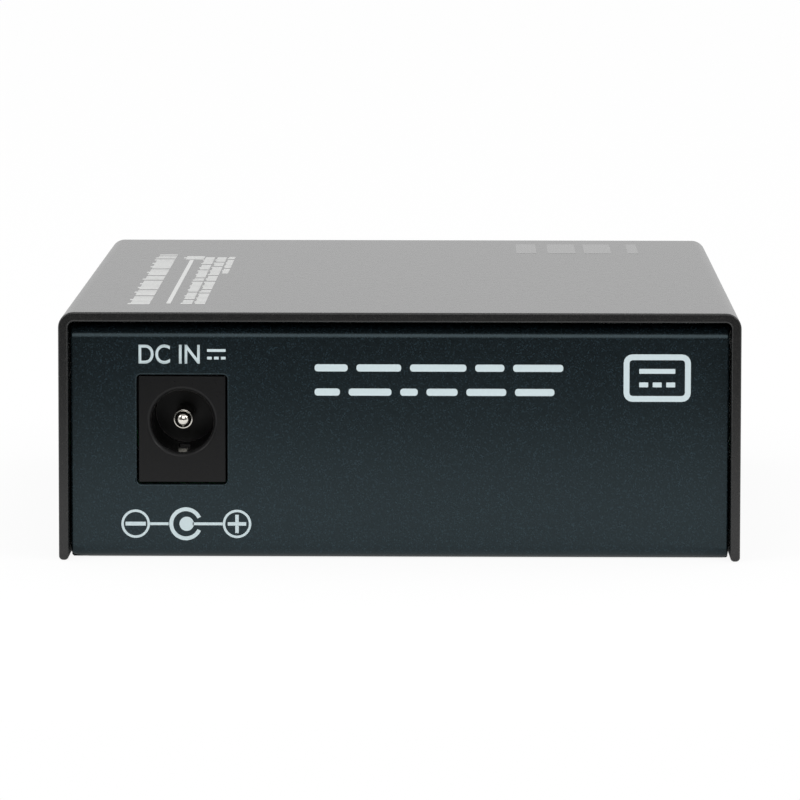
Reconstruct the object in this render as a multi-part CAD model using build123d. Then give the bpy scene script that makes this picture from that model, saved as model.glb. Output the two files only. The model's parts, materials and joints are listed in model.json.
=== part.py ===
from build123d import *
import os

# A desktop media converter that joins a copper network cable to a pair of optical fibres.
# Millimetres. X runs across the case, Y from the power end (negative) to the port end, Z is up.
# The origin is under the middle of the case, on the surface that it stands on.

# Circuit board, which sets the size of the case
board_width = 63.0
board_depth = 86.0
board_thickness = 1.6
board_side_gap = 1.35
board_end_gap = 1.0

# Folded sheet-metal cover, an upside-down channel
cover_sheet = 1.0
cover_bend = 0.6
cover_rim_round = 0.42
vent_count = 7
vent_width = 1.6
vent_length = 9.0
vent_pitch = 4.0
vent_height = 14.5

# Folded sheet-metal base with both end panels
base_sheet = 1.0
base_bend = 0.5
side_gap = 0.15
top_gap = 1.0
panel_recess = 2.0
panel_headroom = 2.6
flange_depth = 9.0
flange_corner = 1.2
lead_height = 0.45
lead_widths = (2.1, 0.6)
lead_shares = ((0, 1), (0.2, 0.62), (0.55, 0.22), (1, 0))
window_gap = 0.15
window_corner = 0.45

# Side tabs of the base, one on each side, which take the cover's screws
tab_width = 14.0
tab_height = 7.6
tab_corner = 1.5
tab_relief_width = 1.0
tab_relief_margin = 0.4

# Countersunk screws through the cover's walls
cover_screw_radius = 1.45
cover_screw_head = 2.5
cover_screw_head_height = 1.0
cover_screw_length = 5.0
cover_screw_height = 4.2
screw_fit = 0.05

# Hexagonal standoffs pressed into the base, and the board's screws
standoff_height = 5.2
standoff_across = 2.5
standoff_floor = 0.8
board_screw_radius = 1.2
board_screw_head = 2.2
board_screw_head_height = 1.4
board_screw_length = 5.0
board_hole_fit = 0.2
standoff_shares = ((-0.90, -0.61), (0.90, -0.91), (0.62, 0.55))

# Insulating film on the base, under the board
film_thickness = 0.3
film_width = 36.0
film_depth = 62.0
film_shift = 4.0

# Power inlet: a moulded body with a centre pin and three metal contacts
jack_margin = 4.6
jack_width = 9.0
jack_height = 11.0
jack_length = 14.2
jack_collar = 3.3
jack_setback = 0.3
jack_axis_height = 6.3
jack_bore = 3.2
jack_bore_depth = 9.6
jack_mouth = 0.35
jack_back_wall = 2.4
inlet_pin_radius = 1.0
inlet_pin_root = 1.3
inlet_pin_setback = 1.5
inlet_pin_nose = 0.7
inlet_pin_nose_length = 0.5
inlet_pin_shoulder = 0.3
inlet_pin_dimple = 0.25
inlet_pin_dimple_depth = 0.3
strap_margin = 1.2
contact_sheet = 0.4
contact_bend = 0.4
contact_width = 2.6
contact_fit = 0.1
pin_root_fit = 0.03
tail_length = 1.2
spring_width = 1.0
spring_sheet = 0.3
spring_crest = 0.35
spring_crest_setback = 2.2
spring_tip_drop = 0.9
spring_run = 5.0
switch_tab_height = 3.6
switch_tab_width = 2.0
switch_tab_setback = 8.0

# Copper network port: a moulded insert in a folded metal shield, with eight contact wires
port_proud = 0.5
network_width = 16.0
network_length = 15.8
shield_sheet = 0.25
shield_bend = 0.4
shield_fit = 0.05
shield_leg_width = 1.6
shield_leg_setback = 8.5
plug_width = 11.8
plug_height = 7.0
plug_floor = 3.4
plug_depth = 12.4
plug_roof = 1.5
latch_width = 6.3
latch_step = 1.0
latch_groove_width = 3.4
latch_groove_step = 1.0
comb_width = 8.4
comb_height = 1.3
comb_setback = 1.6
comb_rear = 2.4
wire_count = 8
wire_pitch = 1.02
wire_width = 0.4
wire_sheet = 0.3
wire_bend = 0.5
wire_drop = 2.2
wire_reach = 7.0
wire_fit = 0.1

# Optical module: a moulded body with two fibre ports side by side
optic_margin = 0.9
optic_width = 25.4
optic_height = 11.0
optic_length = 39.6
optic_edge_round = 0.5
fibre_pitch = 12.7
fibre_axis_height = 5.3
fibre_port_width = 9.1
fibre_port_height = 7.5
fibre_port_depth = 12.0
fibre_key_width = 2.3
fibre_key_height = 0.8
ferrule_bore = 1.25
barrel_radius = 2.3
barrel_setback = 5.0
clip_plate = 1.0
clip_fit = 0.1
clip_arm = 0.9
clip_arm_height = 3.4
clip_setback = 4.7
clip_hook = 0.5
clip_hook_length = 1.1
optic_pin_count = 9
optic_pin_pitch = 2.54
optic_pin_width = 0.5
optic_pin_inset = 1.6
optic_post_width = 1.7
optic_post_spacing = 20.4
optic_post_setback = 14.0
optic_rib_count = 3
optic_rib_width = 1.2
optic_rib_height = 0.5
pin_fit = 0.15

# Slide switch with four small levers behind the port panel
switch_margin = 0.8
switch_count = 4
switch_pitch = 2.54
switch_end_wall = 0.8
switch_height = 6.4
switch_case_depth = 4.0
switch_base_depth = 1.6
switch_setback = 0.3
switch_front_wall = 0.8
switch_travel = 1.4
lever_width = 0.8
lever_height = 1.8
lever_proud = 0.7
lever_edge = 0.2
lever_fit = 0.1
shoe_width = 1.8
shoe_height = 2.8
shoe_depth = 1.2
switch_leg_width = 0.6
switch_leg_sheet = 0.3
switch_leg_reach = 1.4
switch_leg_height = 2.6

# Clear light guide over six indicator lamps on the board
lamp_columns = 3
lamp_rows = 2
lamp_column_pitch = 3.9
lamp_row_pitch = 3.3
guide_width = 2.4
guide_height = 1.4
guide_depth = 1.8
guide_proud = 0.2
guide_hole_gap = 0.15
guide_setback = 12.4
guide_spacing = 3.0
guide_lift = 0.2
guide_web = 1.2
guide_web_height = 3.0
guide_foot = 1.2
lamp_chip_width = 1.6
lamp_chip_depth = 1.2
lamp_chip_height = 0.7

# Power transformer: two ferrite halves round a moulded former with its winding
core_width = 16.0
core_height = 7.0
core_half_depth = 7.0
core_leg = 2.6
core_centre_leg = 5.0
core_back = 2.6
core_lift = 2.4
former_flange = 0.8
former_wall = 0.5
former_fit = 0.1
winding_thickness = 1.6
transformer_width_share = -0.58
transformer_depth_share = -0.37

# Parts soldered flat on the board
capacitor_radius = 4.0
capacitor_height = 10.0
block_capacitor_length = 7.3
block_capacitor_width = 4.3
block_capacitor_height = 2.9
capacitor_base_height = 0.9
capacitor_base_margin = 0.3
inductor_width = 7.4
inductor_height = 4.2
inductor_corner = 1.4
fuse_length = 7.2
fuse_width = 3.0
fuse_height = 2.8
fuse_cap = 1.4
fuse_cap_wall = 0.2
diode_length = 4.4
diode_width = 2.7
diode_height = 2.2
diode_pad = 0.9
diode_pad_height = 0.3
diode_spacing = 5.0
crystal_length = 11.2
crystal_width = 4.6
crystal_height = 3.4
crystal_corner = 1.2
converter_size = 12.0
converter_height = 1.3
converter_chamfer = 1.2
controller_length = 5.0
controller_width = 3.9
controller_height = 1.6
controller_legs = 4
controller_pitch = 1.27
isolator_length = 12.6
isolator_width = 7.2
isolator_height = 4.4
isolator_legs = 6
isolator_pitch = 1.9
leg_width = 0.45
leg_sheet = 0.2
leg_reach = 1.0
leg_lift = 0.1
body_taper = 0.25
chip_length = 1.8
chip_width = 1.0
chip_height = 0.6
chip_columns = 5
chip_rows = 2
chip_pitch = 3.4

# Places of the board's parts, as shares of half its width and half its depth
capacitor_share = (0.02, -0.78)
block_capacitor_share = (0.40, -0.80)
inductor_share = (0.42, -0.44)
fuse_share = (0.02, -0.50)
diode_share = (-0.08, -0.28)
controller_share = (0.14, -0.26)
converter_share = (0.24, 0.03)
isolator_share = (0.24, 0.40)
crystal_share = (0.74, 0.04)
chip_share = (0.66, -0.22)

# One overrun for every cut
overrun = 1.0

# Sizes that follow from those above
base_width = board_width + 2 * (board_side_gap + base_sheet)
case_width = base_width + 2 * (side_gap + cover_sheet)
panel_inside = board_depth / 2 + board_end_gap
panel_outside = panel_inside + base_sheet
case_depth = 2 * (panel_outside + panel_recess)
board_bottom = base_sheet + standoff_height
board_top = board_bottom + board_thickness
network_height = plug_floor + plug_height + comb_height + plug_roof
panel_top = board_top + network_height + panel_headroom
case_height = panel_top + top_gap + cover_sheet
tail_end = board_bottom - tail_length
port_face = panel_outside + port_proud

jack_x = -board_width / 2 + jack_margin + jack_width / 2
jack_face = -panel_outside + jack_setback
jack_axis = board_top + jack_axis_height
jack_back = jack_face + jack_bore_depth + jack_back_wall
jack_end = jack_face + jack_length

optic_x = -board_width / 2 + optic_margin + optic_width / 2
fibre_axis = board_top + fibre_axis_height
barrel_front = port_face - barrel_setback
barrel_seat = port_face - fibre_port_depth
switch_width = switch_count * switch_pitch + 2 * switch_end_wall
switch_x = board_width / 2 - switch_margin - switch_width / 2
switch_face = panel_outside - switch_setback
switch_back = switch_face - switch_case_depth
network_x = (optic_x + optic_width / 2 + switch_x - switch_width / 2) / 2
lamp_middle = (board_top + switch_height + panel_top - base_sheet) / 2


def block(x, y, z):
    """A box between two limits on each axis."""
    middle = Pos((x[0] + x[1]) / 2, (y[0] + y[1]) / 2, (z[0] + z[1]) / 2)
    return middle * Box(x[1] - x[0], y[1] - y[0], z[1] - z[0])


def about(middle, width):
    """The two limits of a width set evenly about its middle."""
    return (middle - width / 2, middle + width / 2)


def drawn_x(sketch, x):
    """A sketch in Y and Z, drawn out between two limits on X."""
    return Pos(x[0], 0, 0) * extrude(Plane.YZ * sketch, amount=x[1] - x[0])


def drawn_y(sketch, y):
    """A sketch in X and Z, drawn out between two limits on Y."""
    return Pos(0, y[1], 0) * extrude(Plane.XZ * sketch, amount=y[1] - y[0])


def drawn_z(sketch, z):
    """A sketch in X and Y, drawn out between two limits on Z."""
    return Pos(0, 0, z[0]) * extrude(sketch, amount=z[1] - z[0])


def rod_y(x, z, y, radius):
    """A round bar along Y."""
    return drawn_y(Pos(x, z) * Circle(radius), y)


def folded(corners, inside_radius, thickness, side):
    """The section of a folded sheet, whose outer face runs through the corners."""
    line = FilletPolyline(*corners, radius=inside_radius + thickness)
    return make_face(offset(line, amount=thickness, side=side).edges())


def spread(count, pitch):
    """Evenly spaced places about zero."""
    return [(i - (count - 1) / 2) * pitch for i in range(count)]


def on_board(share):
    """A place on the board from its shares of half the width and half the depth."""
    return share[0] * board_width / 2, share[1] * board_depth / 2


def group(solids):
    """Separate like solids kept together under one name."""
    return Compound(children=solids)


def side_screw_planes():
    """The seats of the cover's screws, each facing out of its wall."""
    seats = [(side, (side * case_width / 2, 0, cover_screw_height)) for side in (-1, 1)]
    return [Plane(origin=seat, z_dir=(side, 0, 0)) for side, seat in seats]


def standoff_places():
    """Where the board stands on the base."""
    return [on_board(share) for share in standoff_shares]


def top_cover():
    """Roof and side walls folded from one sheet, with vents and countersunk screw holes."""
    half = case_width / 2
    corners = [(-half, 0), (-half, case_height), (half, case_height), (half, 0)]
    section = folded(corners, cover_bend, cover_sheet, Side.RIGHT)
    cover = drawn_y(section, about(0, case_depth))
    rims = cover.edges().filter_by(Axis.Y).group_by(Axis.Z)[0]
    cover = fillet(rims, cover_rim_round)
    vent = Rectangle(vent_width, vent_length)
    cuts = [
        drawn_x(Pos(y, vent_height) * vent, about(0, case_width + 2 * overrun))
        for y in spread(vent_count, vent_pitch)
    ]
    for seat in side_screw_planes():
        sink = cover_screw_head_height + screw_fit
        hole = Cylinder(cover_screw_radius + screw_fit, 2 * (cover_sheet + overrun))
        cone = Cone(cover_screw_radius + screw_fit, cover_screw_head + screw_fit, sink)
        cuts.append(seat * (hole + Pos(0, 0, -sink / 2) * cone))
    return cover - cuts


def network_outline(grow):
    """Opening of the copper port: the plug's body with its stepped latch groove below."""
    floor = board_top + plug_floor
    body = Pos(network_x, floor + plug_height / 2) * Rectangle(
        plug_width + 2 * grow, plug_height + 2 * grow
    )
    step = Pos(network_x, floor) * Rectangle(latch_width + 2 * grow, 2 * (latch_step + grow))
    depth = latch_step + latch_groove_step + grow
    groove = Pos(network_x, floor) * Rectangle(latch_groove_width + 2 * grow, 2 * depth)
    return body + step + groove


def port_window(x, width, height):
    """Window in the port panel round a part that stands on the board."""
    size = (width + 2 * window_gap, height + 2 * window_gap)
    return Pos(x, board_top + height / 2) * Rectangle(*size)


def lamp_places():
    """Centres of the indicator lights on the port panel, each with its row."""
    columns = spread(lamp_columns, lamp_column_pitch)
    heights = [lamp_middle - z for z in spread(lamp_rows, lamp_row_pitch)]
    return [(switch_x + x, z, row) for row, z in enumerate(heights) for x in columns]


def side_tab():
    """Tab folded up from the base's side, with a rounded free end."""
    half = base_width / 2
    root = half - base_bend - base_sheet - tab_relief_margin
    section = folded([(root, 0), (half, 0), (half, tab_height)], base_bend, base_sheet, Side.LEFT)
    tab = drawn_y(section, about(0, tab_width))
    corners = tab.edges().filter_by(Axis.X).group_by(Axis.Z)[-1]
    return chamfer(corners, tab_corner)


def corner_lead(side, width):
    """Cut that rounds off a lower corner of the power end's panel, where its fold runs out."""
    edge = base_width / 2
    outline = [(edge - width * x, lead_height * z) for x, z in lead_shares]
    outline += [(edge - width, -overrun), (edge + overrun, -overrun), (edge + overrun, lead_height)]
    face = make_face(Polyline(*outline, close=True))
    cut = drawn_y(face, (-panel_outside - overrun, -panel_outside + base_bend + base_sheet))
    return cut if side > 0 else mirror(cut, Plane.YZ)


def base_chassis():
    """Floor, both end panels, their top flanges and two side tabs, from one sheet."""
    reach = panel_outside - flange_depth
    corners = [
        (-reach, panel_top),
        (-panel_outside, panel_top),
        (-panel_outside, 0),
        (panel_outside, 0),
        (panel_outside, panel_top),
        (reach, panel_top),
    ]
    section = folded(corners, base_bend, base_sheet, Side.LEFT)
    base = drawn_x(section, about(0, base_width))
    top_edges = base.edges().filter_by(Axis.Z).group_by(Axis.Z)[-1]
    free = top_edges.filter_by(lambda edge: abs(edge.center().Y) < panel_inside)
    base = chamfer(free, flange_corner)
    notch = base_bend + base_sheet + tab_relief_margin
    wide = about(0, tab_width + 2 * tab_relief_width)
    edge = (base_width / 2 - notch, base_width / 2 + overrun)
    relief = block(edge, wide, (-overrun, base_sheet + overrun))
    base = base - [relief, mirror(relief, Plane.YZ)] + [side_tab(), mirror(side_tab(), Plane.YZ)]
    hole = Pos(0, cover_screw_height) * Circle(cover_screw_radius + screw_fit)
    holes = [drawn_x(hole, about(0, case_width))]
    for x, y in standoff_places():
        hole = Pos(x, y) * standoff_outline(screw_fit)
        holes.append(drawn_z(hole, (-overrun, base_sheet + overrun)))
    through = (-panel_outside - overrun, -panel_inside + overrun)
    size = (jack_width + 2 * window_gap, jack_height + 2 * window_gap)
    window = Pos(jack_x, board_top + jack_height / 2) * RectangleRounded(*size, window_corner)
    holes.append(drawn_y(window, through))
    through = (panel_inside - overrun, panel_outside + overrun)
    windows = [
        port_window(network_x, network_width, network_height),
        port_window(optic_x, optic_width, optic_height),
        port_window(switch_x, switch_width, switch_height),
    ]
    size = (guide_width + 2 * guide_hole_gap, guide_height + 2 * guide_hole_gap)
    windows += [Pos(x, z) * Rectangle(*size) for x, z, row in lamp_places()]
    holes += [drawn_y(window, through) for window in windows]
    holes += [corner_lead(side, width) for side, width in zip((-1, 1), lead_widths)]
    return base - holes


def cover_screws():
    """Two countersunk screws, flush with the cover's walls."""
    screws = []
    for seat in side_screw_planes():
        head = Cone(cover_screw_radius, cover_screw_head, cover_screw_head_height)
        shank_length = cover_screw_length - cover_screw_head_height
        shank = Cylinder(cover_screw_radius, shank_length)
        sunk = Pos(0, 0, -cover_screw_head_height / 2) * head
        sunk += Pos(0, 0, -cover_screw_head_height - shank_length / 2) * shank
        screws.append(seat * sunk)
    return group(screws)


def standoff_outline(grow):
    """Hexagon of a standoff, or of its hole in the base."""
    return RegularPolygon(standoff_across + grow, 6, major_radius=False)


def board_standoffs():
    """Three hexagonal standoffs pressed flush into the base, each with a blind screw hole."""
    standoffs = []
    for x, y in standoff_places():
        body = drawn_z(standoff_outline(0), (0, board_bottom))
        hole = Circle(board_screw_radius + screw_fit)
        body -= drawn_z(hole, (standoff_floor, board_bottom + overrun))
        standoffs.append(Pos(x, y, 0) * body)
    return group(standoffs)


def board_screws():
    """Three pan-head screws that hold the board on its standoffs."""
    screws = []
    for x, y in standoff_places():
        screw = drawn_z(Circle(board_screw_head), (board_top, board_top + board_screw_head_height))
        screw += drawn_z(Circle(board_screw_radius), (board_top - board_screw_length, board_top))
        screws.append(Pos(x, y, 0) * screw)
    return group(screws)


def insulation_film():
    """Thin insulating film stuck to the base between the standoffs."""
    film = Pos(-film_shift, 0) * Rectangle(film_width, film_depth)
    return drawn_z(film, (base_sheet, base_sheet + film_thickness))


def optic_pin_places():
    """Row of solder pins near the module's inner end."""
    y = port_face - optic_length + optic_pin_inset
    return [(optic_x + x, y) for x in spread(optic_pin_count, optic_pin_pitch)]


def optic_post_places():
    """Two square moulded posts under the module."""
    y = port_face - optic_post_setback
    return [(optic_x + x, y) for x in spread(2, optic_post_spacing)]


def wire_places():
    """Places across the copper port of its contact wires."""
    return [network_x + x for x in spread(wire_count, wire_pitch)]


def wire_tail():
    """Where the contact wires go down through the board."""
    return port_face - network_length + comb_rear / 2


def shield_leg_places():
    """Where the shield's two legs go down through the board."""
    side = (network_width - shield_sheet) / 2
    y = port_face - shield_leg_setback
    return [(network_x + x, y) for x in (-side, side)]


def jack_tail_places():
    """Where the inlet's contacts go down through the board, each with its section."""
    back = jack_back + contact_sheet / 2
    spring = jack_face + spring_crest_setback + spring_run
    side = jack_x + jack_width / 2 - contact_sheet / 2 - contact_fit
    switch = jack_face + switch_tab_setback
    return [
        (jack_x, back, contact_width, contact_sheet),
        (jack_x, spring, spring_width, spring_sheet),
        (side, switch, contact_sheet, switch_tab_width),
    ]


def main_board():
    """The circuit board, with its screw holes and the holes of the parts that pass through it."""
    board = drawn_z(Rectangle(board_width, board_depth), (board_bottom, board_top))
    through = (board_bottom - overrun, board_top + overrun)
    outlines = [
        Pos(x, y) * Circle(board_screw_radius + board_hole_fit) for x, y in standoff_places()
    ]
    slots = [(x, y, optic_post_width, optic_post_width) for x, y in optic_post_places()]
    slots += [(x, y, optic_pin_width, optic_pin_width) for x, y in optic_pin_places()]
    slots += [(x, wire_tail(), wire_width, wire_sheet) for x in wire_places()]
    slots += [(x, y, shield_sheet, shield_leg_width) for x, y in shield_leg_places()]
    slots += jack_tail_places()
    for x, y, width, depth in slots:
        outlines.append(Pos(x, y) * Rectangle(width + 2 * pin_fit, depth + 2 * pin_fit))
    return board - [drawn_z(outline, through) for outline in outlines]


def power_jack_body():
    """Square collar and arched body with a deep round mouth, a spring channel and a back recess."""
    collar = Pos(jack_x, board_top + jack_height / 2) * Rectangle(jack_width, jack_height)
    body = drawn_y(collar, (jack_face, jack_face + jack_collar))
    arch = Pos(jack_x, jack_axis) * Circle(jack_width / 2)
    arch += Pos(jack_x, board_top + jack_axis_height / 2) * Rectangle(jack_width, jack_axis_height)
    body += drawn_y(arch, (jack_face + jack_collar, jack_end))
    bore_end = jack_face + jack_bore_depth
    mouth = Pos(jack_x, jack_face + jack_mouth / 2, jack_axis) * Rot(90, 0, 0)
    spring_tail = jack_face + spring_crest_setback + spring_run
    side = jack_x + jack_width / 2
    pocket = contact_sheet + 2 * contact_fit
    root = inlet_pin_root + 2 * pin_root_fit
    cuts = [
        rod_y(jack_x, jack_axis, (jack_face - overrun, bore_end), jack_bore),
        mouth * Cone(jack_bore, jack_bore + jack_mouth, jack_mouth),
        block(about(jack_x, root), (bore_end - overrun, jack_end), about(jack_axis, root)),
        block(
            about(jack_x, spring_width + 2 * contact_fit),
            (jack_face + jack_mouth + spring_sheet, spring_tail + spring_sheet),
            (board_top - overrun, jack_axis - jack_bore / 2),
        ),
        block(
            about(jack_x, contact_width + 2 * contact_fit),
            (jack_back, jack_end + overrun),
            (board_top - overrun, jack_axis + inlet_pin_radius + strap_margin + contact_fit),
        ),
        block(
            (side - pocket, side + overrun),
            about(jack_face + switch_tab_setback, switch_tab_width + 2 * contact_fit),
            (board_top - overrun, board_top + switch_tab_height + contact_fit),
        ),
    ]
    return body - cuts


def power_jack_pin():
    """Centre pin with a stepped nose and a dimpled tip, and a square root that meets the strap."""
    tip = jack_face + inlet_pin_setback
    nose = tip + inlet_pin_nose_length
    bore_end = jack_face + jack_bore_depth
    outline = Polyline(
        (0, tip + inlet_pin_dimple_depth),
        (inlet_pin_dimple, tip),
        (inlet_pin_nose, tip),
        (inlet_pin_nose, nose),
        (inlet_pin_radius, nose + inlet_pin_shoulder),
        (inlet_pin_radius, bore_end),
        (0, bore_end),
        close=True,
    )
    pin = revolve(make_face(outline), Axis.Y)
    pin += block(about(0, inlet_pin_root), (bore_end, jack_back), about(0, inlet_pin_root))
    return Pos(jack_x, 0, jack_axis) * pin


def power_jack_contacts():
    """Back strap on the pin, spring that presses on the plug, and the switch contact."""
    tails = jack_tail_places()
    x, y, width, sheet = tails[0]
    top = jack_axis + inlet_pin_radius + strap_margin
    strap = block(about(x, width), about(y, sheet), (tail_end, top))
    x, y, width, sheet = tails[2]
    switch = block(about(x, width), about(y, sheet), (tail_end, board_top + switch_tab_height))
    return strap, switch


def power_jack_spring():
    """Bent leaf spring under the pin, with a crest that reaches into the mouth."""
    x, y, width, sheet = jack_tail_places()[1]
    crest = jack_face + spring_crest_setback
    top = jack_axis - jack_bore + spring_crest
    low = top - spring_tip_drop
    run = low - 2 * spring_sheet
    start = jack_face + jack_mouth + 2 * spring_sheet
    line = FilletPolyline((y, tail_end), (y, run), (crest, top), (start, low), radius=contact_bend)
    leaf = offset(line, amount=sheet, side=Side.RIGHT)
    leaf = make_face(leaf.edges())
    return drawn_x(Pos(-sheet / 2, -sheet) * leaf, about(x, width))


def network_port_shield():
    """Folded shield: roof, sides, back and a front frame round the opening, with two legs."""
    y = (port_face - network_length, port_face)
    body = block(about(network_x, network_width), y, (board_top, board_top + network_height))
    body = fillet(body.edges().filter_by(Axis.Y).group_by(Axis.Z)[-1], shield_bend)
    inner = block(
        about(network_x, network_width - 2 * shield_sheet),
        (y[0] + shield_sheet, y[1] - shield_sheet),
        (board_top - overrun, board_top + network_height - shield_sheet),
    )
    opening = drawn_y(network_outline(shield_fit), (y[1] - overrun, y[1] + overrun))
    body -= [inner, opening]
    for x, y in shield_leg_places():
        wide = about(y, shield_leg_width)
        body += block(about(x, shield_sheet), wide, (tail_end, board_top + shield_bend))
    return body


def network_port_body():
    """Moulded insert with the plug's cavity and a channel for the contact wires."""
    clear = shield_sheet + shield_fit
    y = (port_face - network_length + clear, port_face - clear)
    width = network_width - 2 * clear
    body = block(about(network_x, width), y, (board_top, board_top + network_height - clear))
    cavity = drawn_y(network_outline(0), (port_face - plug_depth, port_face + overrun))
    roof = board_top + plug_floor + plug_height
    channel = block(
        about(network_x, comb_width),
        (y[0] - overrun, port_face - comb_setback),
        (roof - shield_fit, roof + comb_height),
    )
    rear = block(
        about(network_x, comb_width),
        (y[0] - overrun, port_face - network_length + comb_rear),
        (board_top - overrun, roof + comb_height),
    )
    return body - [cavity, channel, rear]


def network_port_wires():
    """Eight spring wires: up behind the insert, along its roof and back down into the cavity."""
    roof = board_top + plug_floor + plug_height + comb_height - wire_fit
    front = port_face - comb_setback - wire_fit
    back = wire_tail() - wire_sheet / 2
    nose = roof - wire_sheet - wire_bend
    tip = front - wire_reach
    outline = Polyline(
        (back, tail_end),
        (back, roof),
        (front - wire_bend, roof),
        (front, roof - wire_bend),
        (front, nose),
        (tip, nose - wire_drop),
        (tip, nose - wire_drop + wire_sheet),
        (front - wire_sheet, nose + wire_sheet / 2),
        (front - wire_sheet, roof - wire_sheet),
        (back + wire_sheet, roof - wire_sheet),
        (back + wire_sheet, tail_end),
        close=True,
    )
    section = make_face(outline)
    return group([drawn_x(section, about(x, wire_width)) for x in wire_places()])


def optic_body():
    """Moulded module with two fibre ports, each with a key slot above, and ribs on its back."""
    y = (port_face - optic_length, port_face)
    body = block(about(optic_x, optic_width), y, (board_top, board_top + optic_height))
    body = fillet(body.edges().filter_by(Axis.Y).group_by(Axis.Z)[-1], optic_edge_round)
    for x, y in optic_post_places():
        post = Pos(x, y) * Rectangle(optic_post_width, optic_post_width)
        body += drawn_z(post, (tail_end, board_top))
    cuts = []
    for x in fibre_places():
        port = Pos(x, fibre_axis) * Rectangle(fibre_port_width, fibre_port_height)
        key_height = fibre_port_height / 2 + fibre_key_height
        port += Pos(x, fibre_axis + key_height / 2) * Rectangle(fibre_key_width, key_height)
        cuts.append(drawn_y(port, (barrel_seat, port_face + overrun)))
    groove = optic_rib_width
    start = barrel_seat - groove
    top = board_top + optic_height
    for i in range(optic_rib_count):
        y = start - 2 * i * groove
        across = about(optic_x, optic_width + 2 * overrun)
        cuts.append(block(across, (y - groove, y), (top - optic_rib_height, top + overrun)))
    return body - cuts


def fibre_places():
    """Places across the case of the two fibre ports."""
    return [optic_x + x for x in spread(2, fibre_pitch)]


def fibre_barrel(x):
    """Turned barrel that a fibre's ferrule slides into, on the floor of its port."""
    barrel = rod_y(x, fibre_axis, (barrel_seat, barrel_front), barrel_radius)
    return barrel - rod_y(x, fibre_axis, (barrel_seat - overrun, barrel_front + overrun), ferrule_bore)


def fibre_clip(x):
    """Moulded clip at the bottom of a fibre port: a plate with two hooked arms."""
    half = fibre_port_width / 2 - clip_fit
    plate = (barrel_seat, barrel_seat + clip_plate)
    height = about(fibre_axis, fibre_port_height - 2 * clip_fit)
    clip = block(about(x, 2 * half), plate, height)
    tip = port_face - clip_setback
    arm = Polyline(
        (half, barrel_seat),
        (half, tip),
        (half - clip_arm, tip),
        (half - clip_arm - clip_hook, tip - clip_hook),
        (half - clip_arm - clip_hook, tip - clip_hook_length),
        (half - clip_arm, tip - clip_hook_length),
        (half - clip_arm, barrel_seat),
        close=True,
    )
    rise = about(fibre_axis, clip_arm_height)
    arm = drawn_z(make_face(arm), rise)
    clip += [Pos(x, 0, 0) * arm, Pos(x, 0, 0) * mirror(arm, Plane.YZ)]
    through = (plate[0] - overrun, plate[1] + overrun)
    opening = 2 * (barrel_radius + clip_fit)
    return clip - drawn_y(Pos(x, fibre_axis) * Rectangle(opening, opening), through)


def optic_pins():
    """Nine solder pins under the module."""
    pin = Rectangle(optic_pin_width, optic_pin_width)
    pin = drawn_z(pin, (tail_end, board_top))
    return group([Pos(x, y, 0) * pin for x, y in optic_pin_places()])


def switch_places():
    """Places across the case of the switch's levers."""
    return [switch_x + x for x in spread(switch_count, switch_pitch)]


def lever_floor():
    """Height of the lever slots' lower end."""
    slot = lever_height + switch_travel + 2 * lever_fit
    return board_top + (switch_height - slot) / 2


def shoe_floor():
    """Height of the lower end of the cavities that the levers' shoes slide in."""
    return lever_floor() - (shoe_height - lever_height) / 2


def switch_case():
    """Moulded front of the slide switch, with a slot and a cavity for each lever."""
    outline = Pos(switch_x, board_top + switch_height / 2) * Rectangle(switch_width, switch_height)
    case = drawn_y(outline, (switch_back, switch_face))
    slot_height = lever_height + switch_travel + 2 * lever_fit
    shoe_room = shoe_height + switch_travel + 2 * lever_fit
    cuts = []
    for x in switch_places():
        slot = Pos(x, lever_floor() + slot_height / 2)
        slot *= Rectangle(lever_width + 2 * lever_fit, slot_height)
        cuts.append(drawn_y(slot, (switch_back, switch_face + overrun)))
        room = Pos(x, shoe_floor() + shoe_room / 2)
        room *= Rectangle(shoe_width + 2 * lever_fit, shoe_room)
        cuts.append(drawn_y(room, (switch_back - overrun, switch_face - switch_front_wall)))
    return case - cuts


def switch_lever(x):
    """Sliding lever: a shoe held behind the case's front wall and a knob through its slot."""
    wall = switch_face - switch_front_wall - lever_fit
    floor = shoe_floor() + lever_fit
    shoe = block(about(x, shoe_width), (wall - shoe_depth, wall), (floor, floor + shoe_height))
    knob_floor = lever_floor() + lever_fit
    knob = (knob_floor, knob_floor + lever_height)
    knob = block(about(x, lever_width), (wall, switch_face + lever_proud), knob)
    knob = chamfer(knob.edges().filter_by(Axis.X).group_by(Axis.Y)[-1], lever_edge)
    return shoe + knob


def switch_base():
    """Moulded back of the slide switch, which closes the levers' cavities."""
    outline = Pos(switch_x, board_top + switch_height / 2) * Rectangle(switch_width, switch_height)
    return drawn_y(outline, (switch_back - switch_base_depth, switch_back))


def leg_section(root, top, foot, floor, sheet):
    """Section of a flat leg that runs out level from its root and down to its foot."""
    inner = foot + sheet if root > foot else foot - sheet
    outline = Polyline(
        (root, top), (foot, top), (foot, floor), (inner, floor), (inner, top - sheet), (root, top - sheet),
        close=True,
    )
    return make_face(outline)


def switch_legs():
    """Two rows of flat legs from the back of the switch down to the board."""
    back = switch_back - switch_base_depth
    legs = []
    for row in range(2):
        reach = (row + 1) * switch_leg_reach
        height = board_top + (row + 1) * switch_leg_height
        section = leg_section(back, height, back - reach, board_top, switch_leg_sheet)
        legs += [drawn_x(section, about(x, switch_leg_width)) for x in switch_places()]
    return group(legs)


def guide_column(row):
    """Middle of the upright part of a row's light pipes."""
    return panel_outside - guide_setback - (lamp_rows - 1 - row) * guide_spacing


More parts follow.
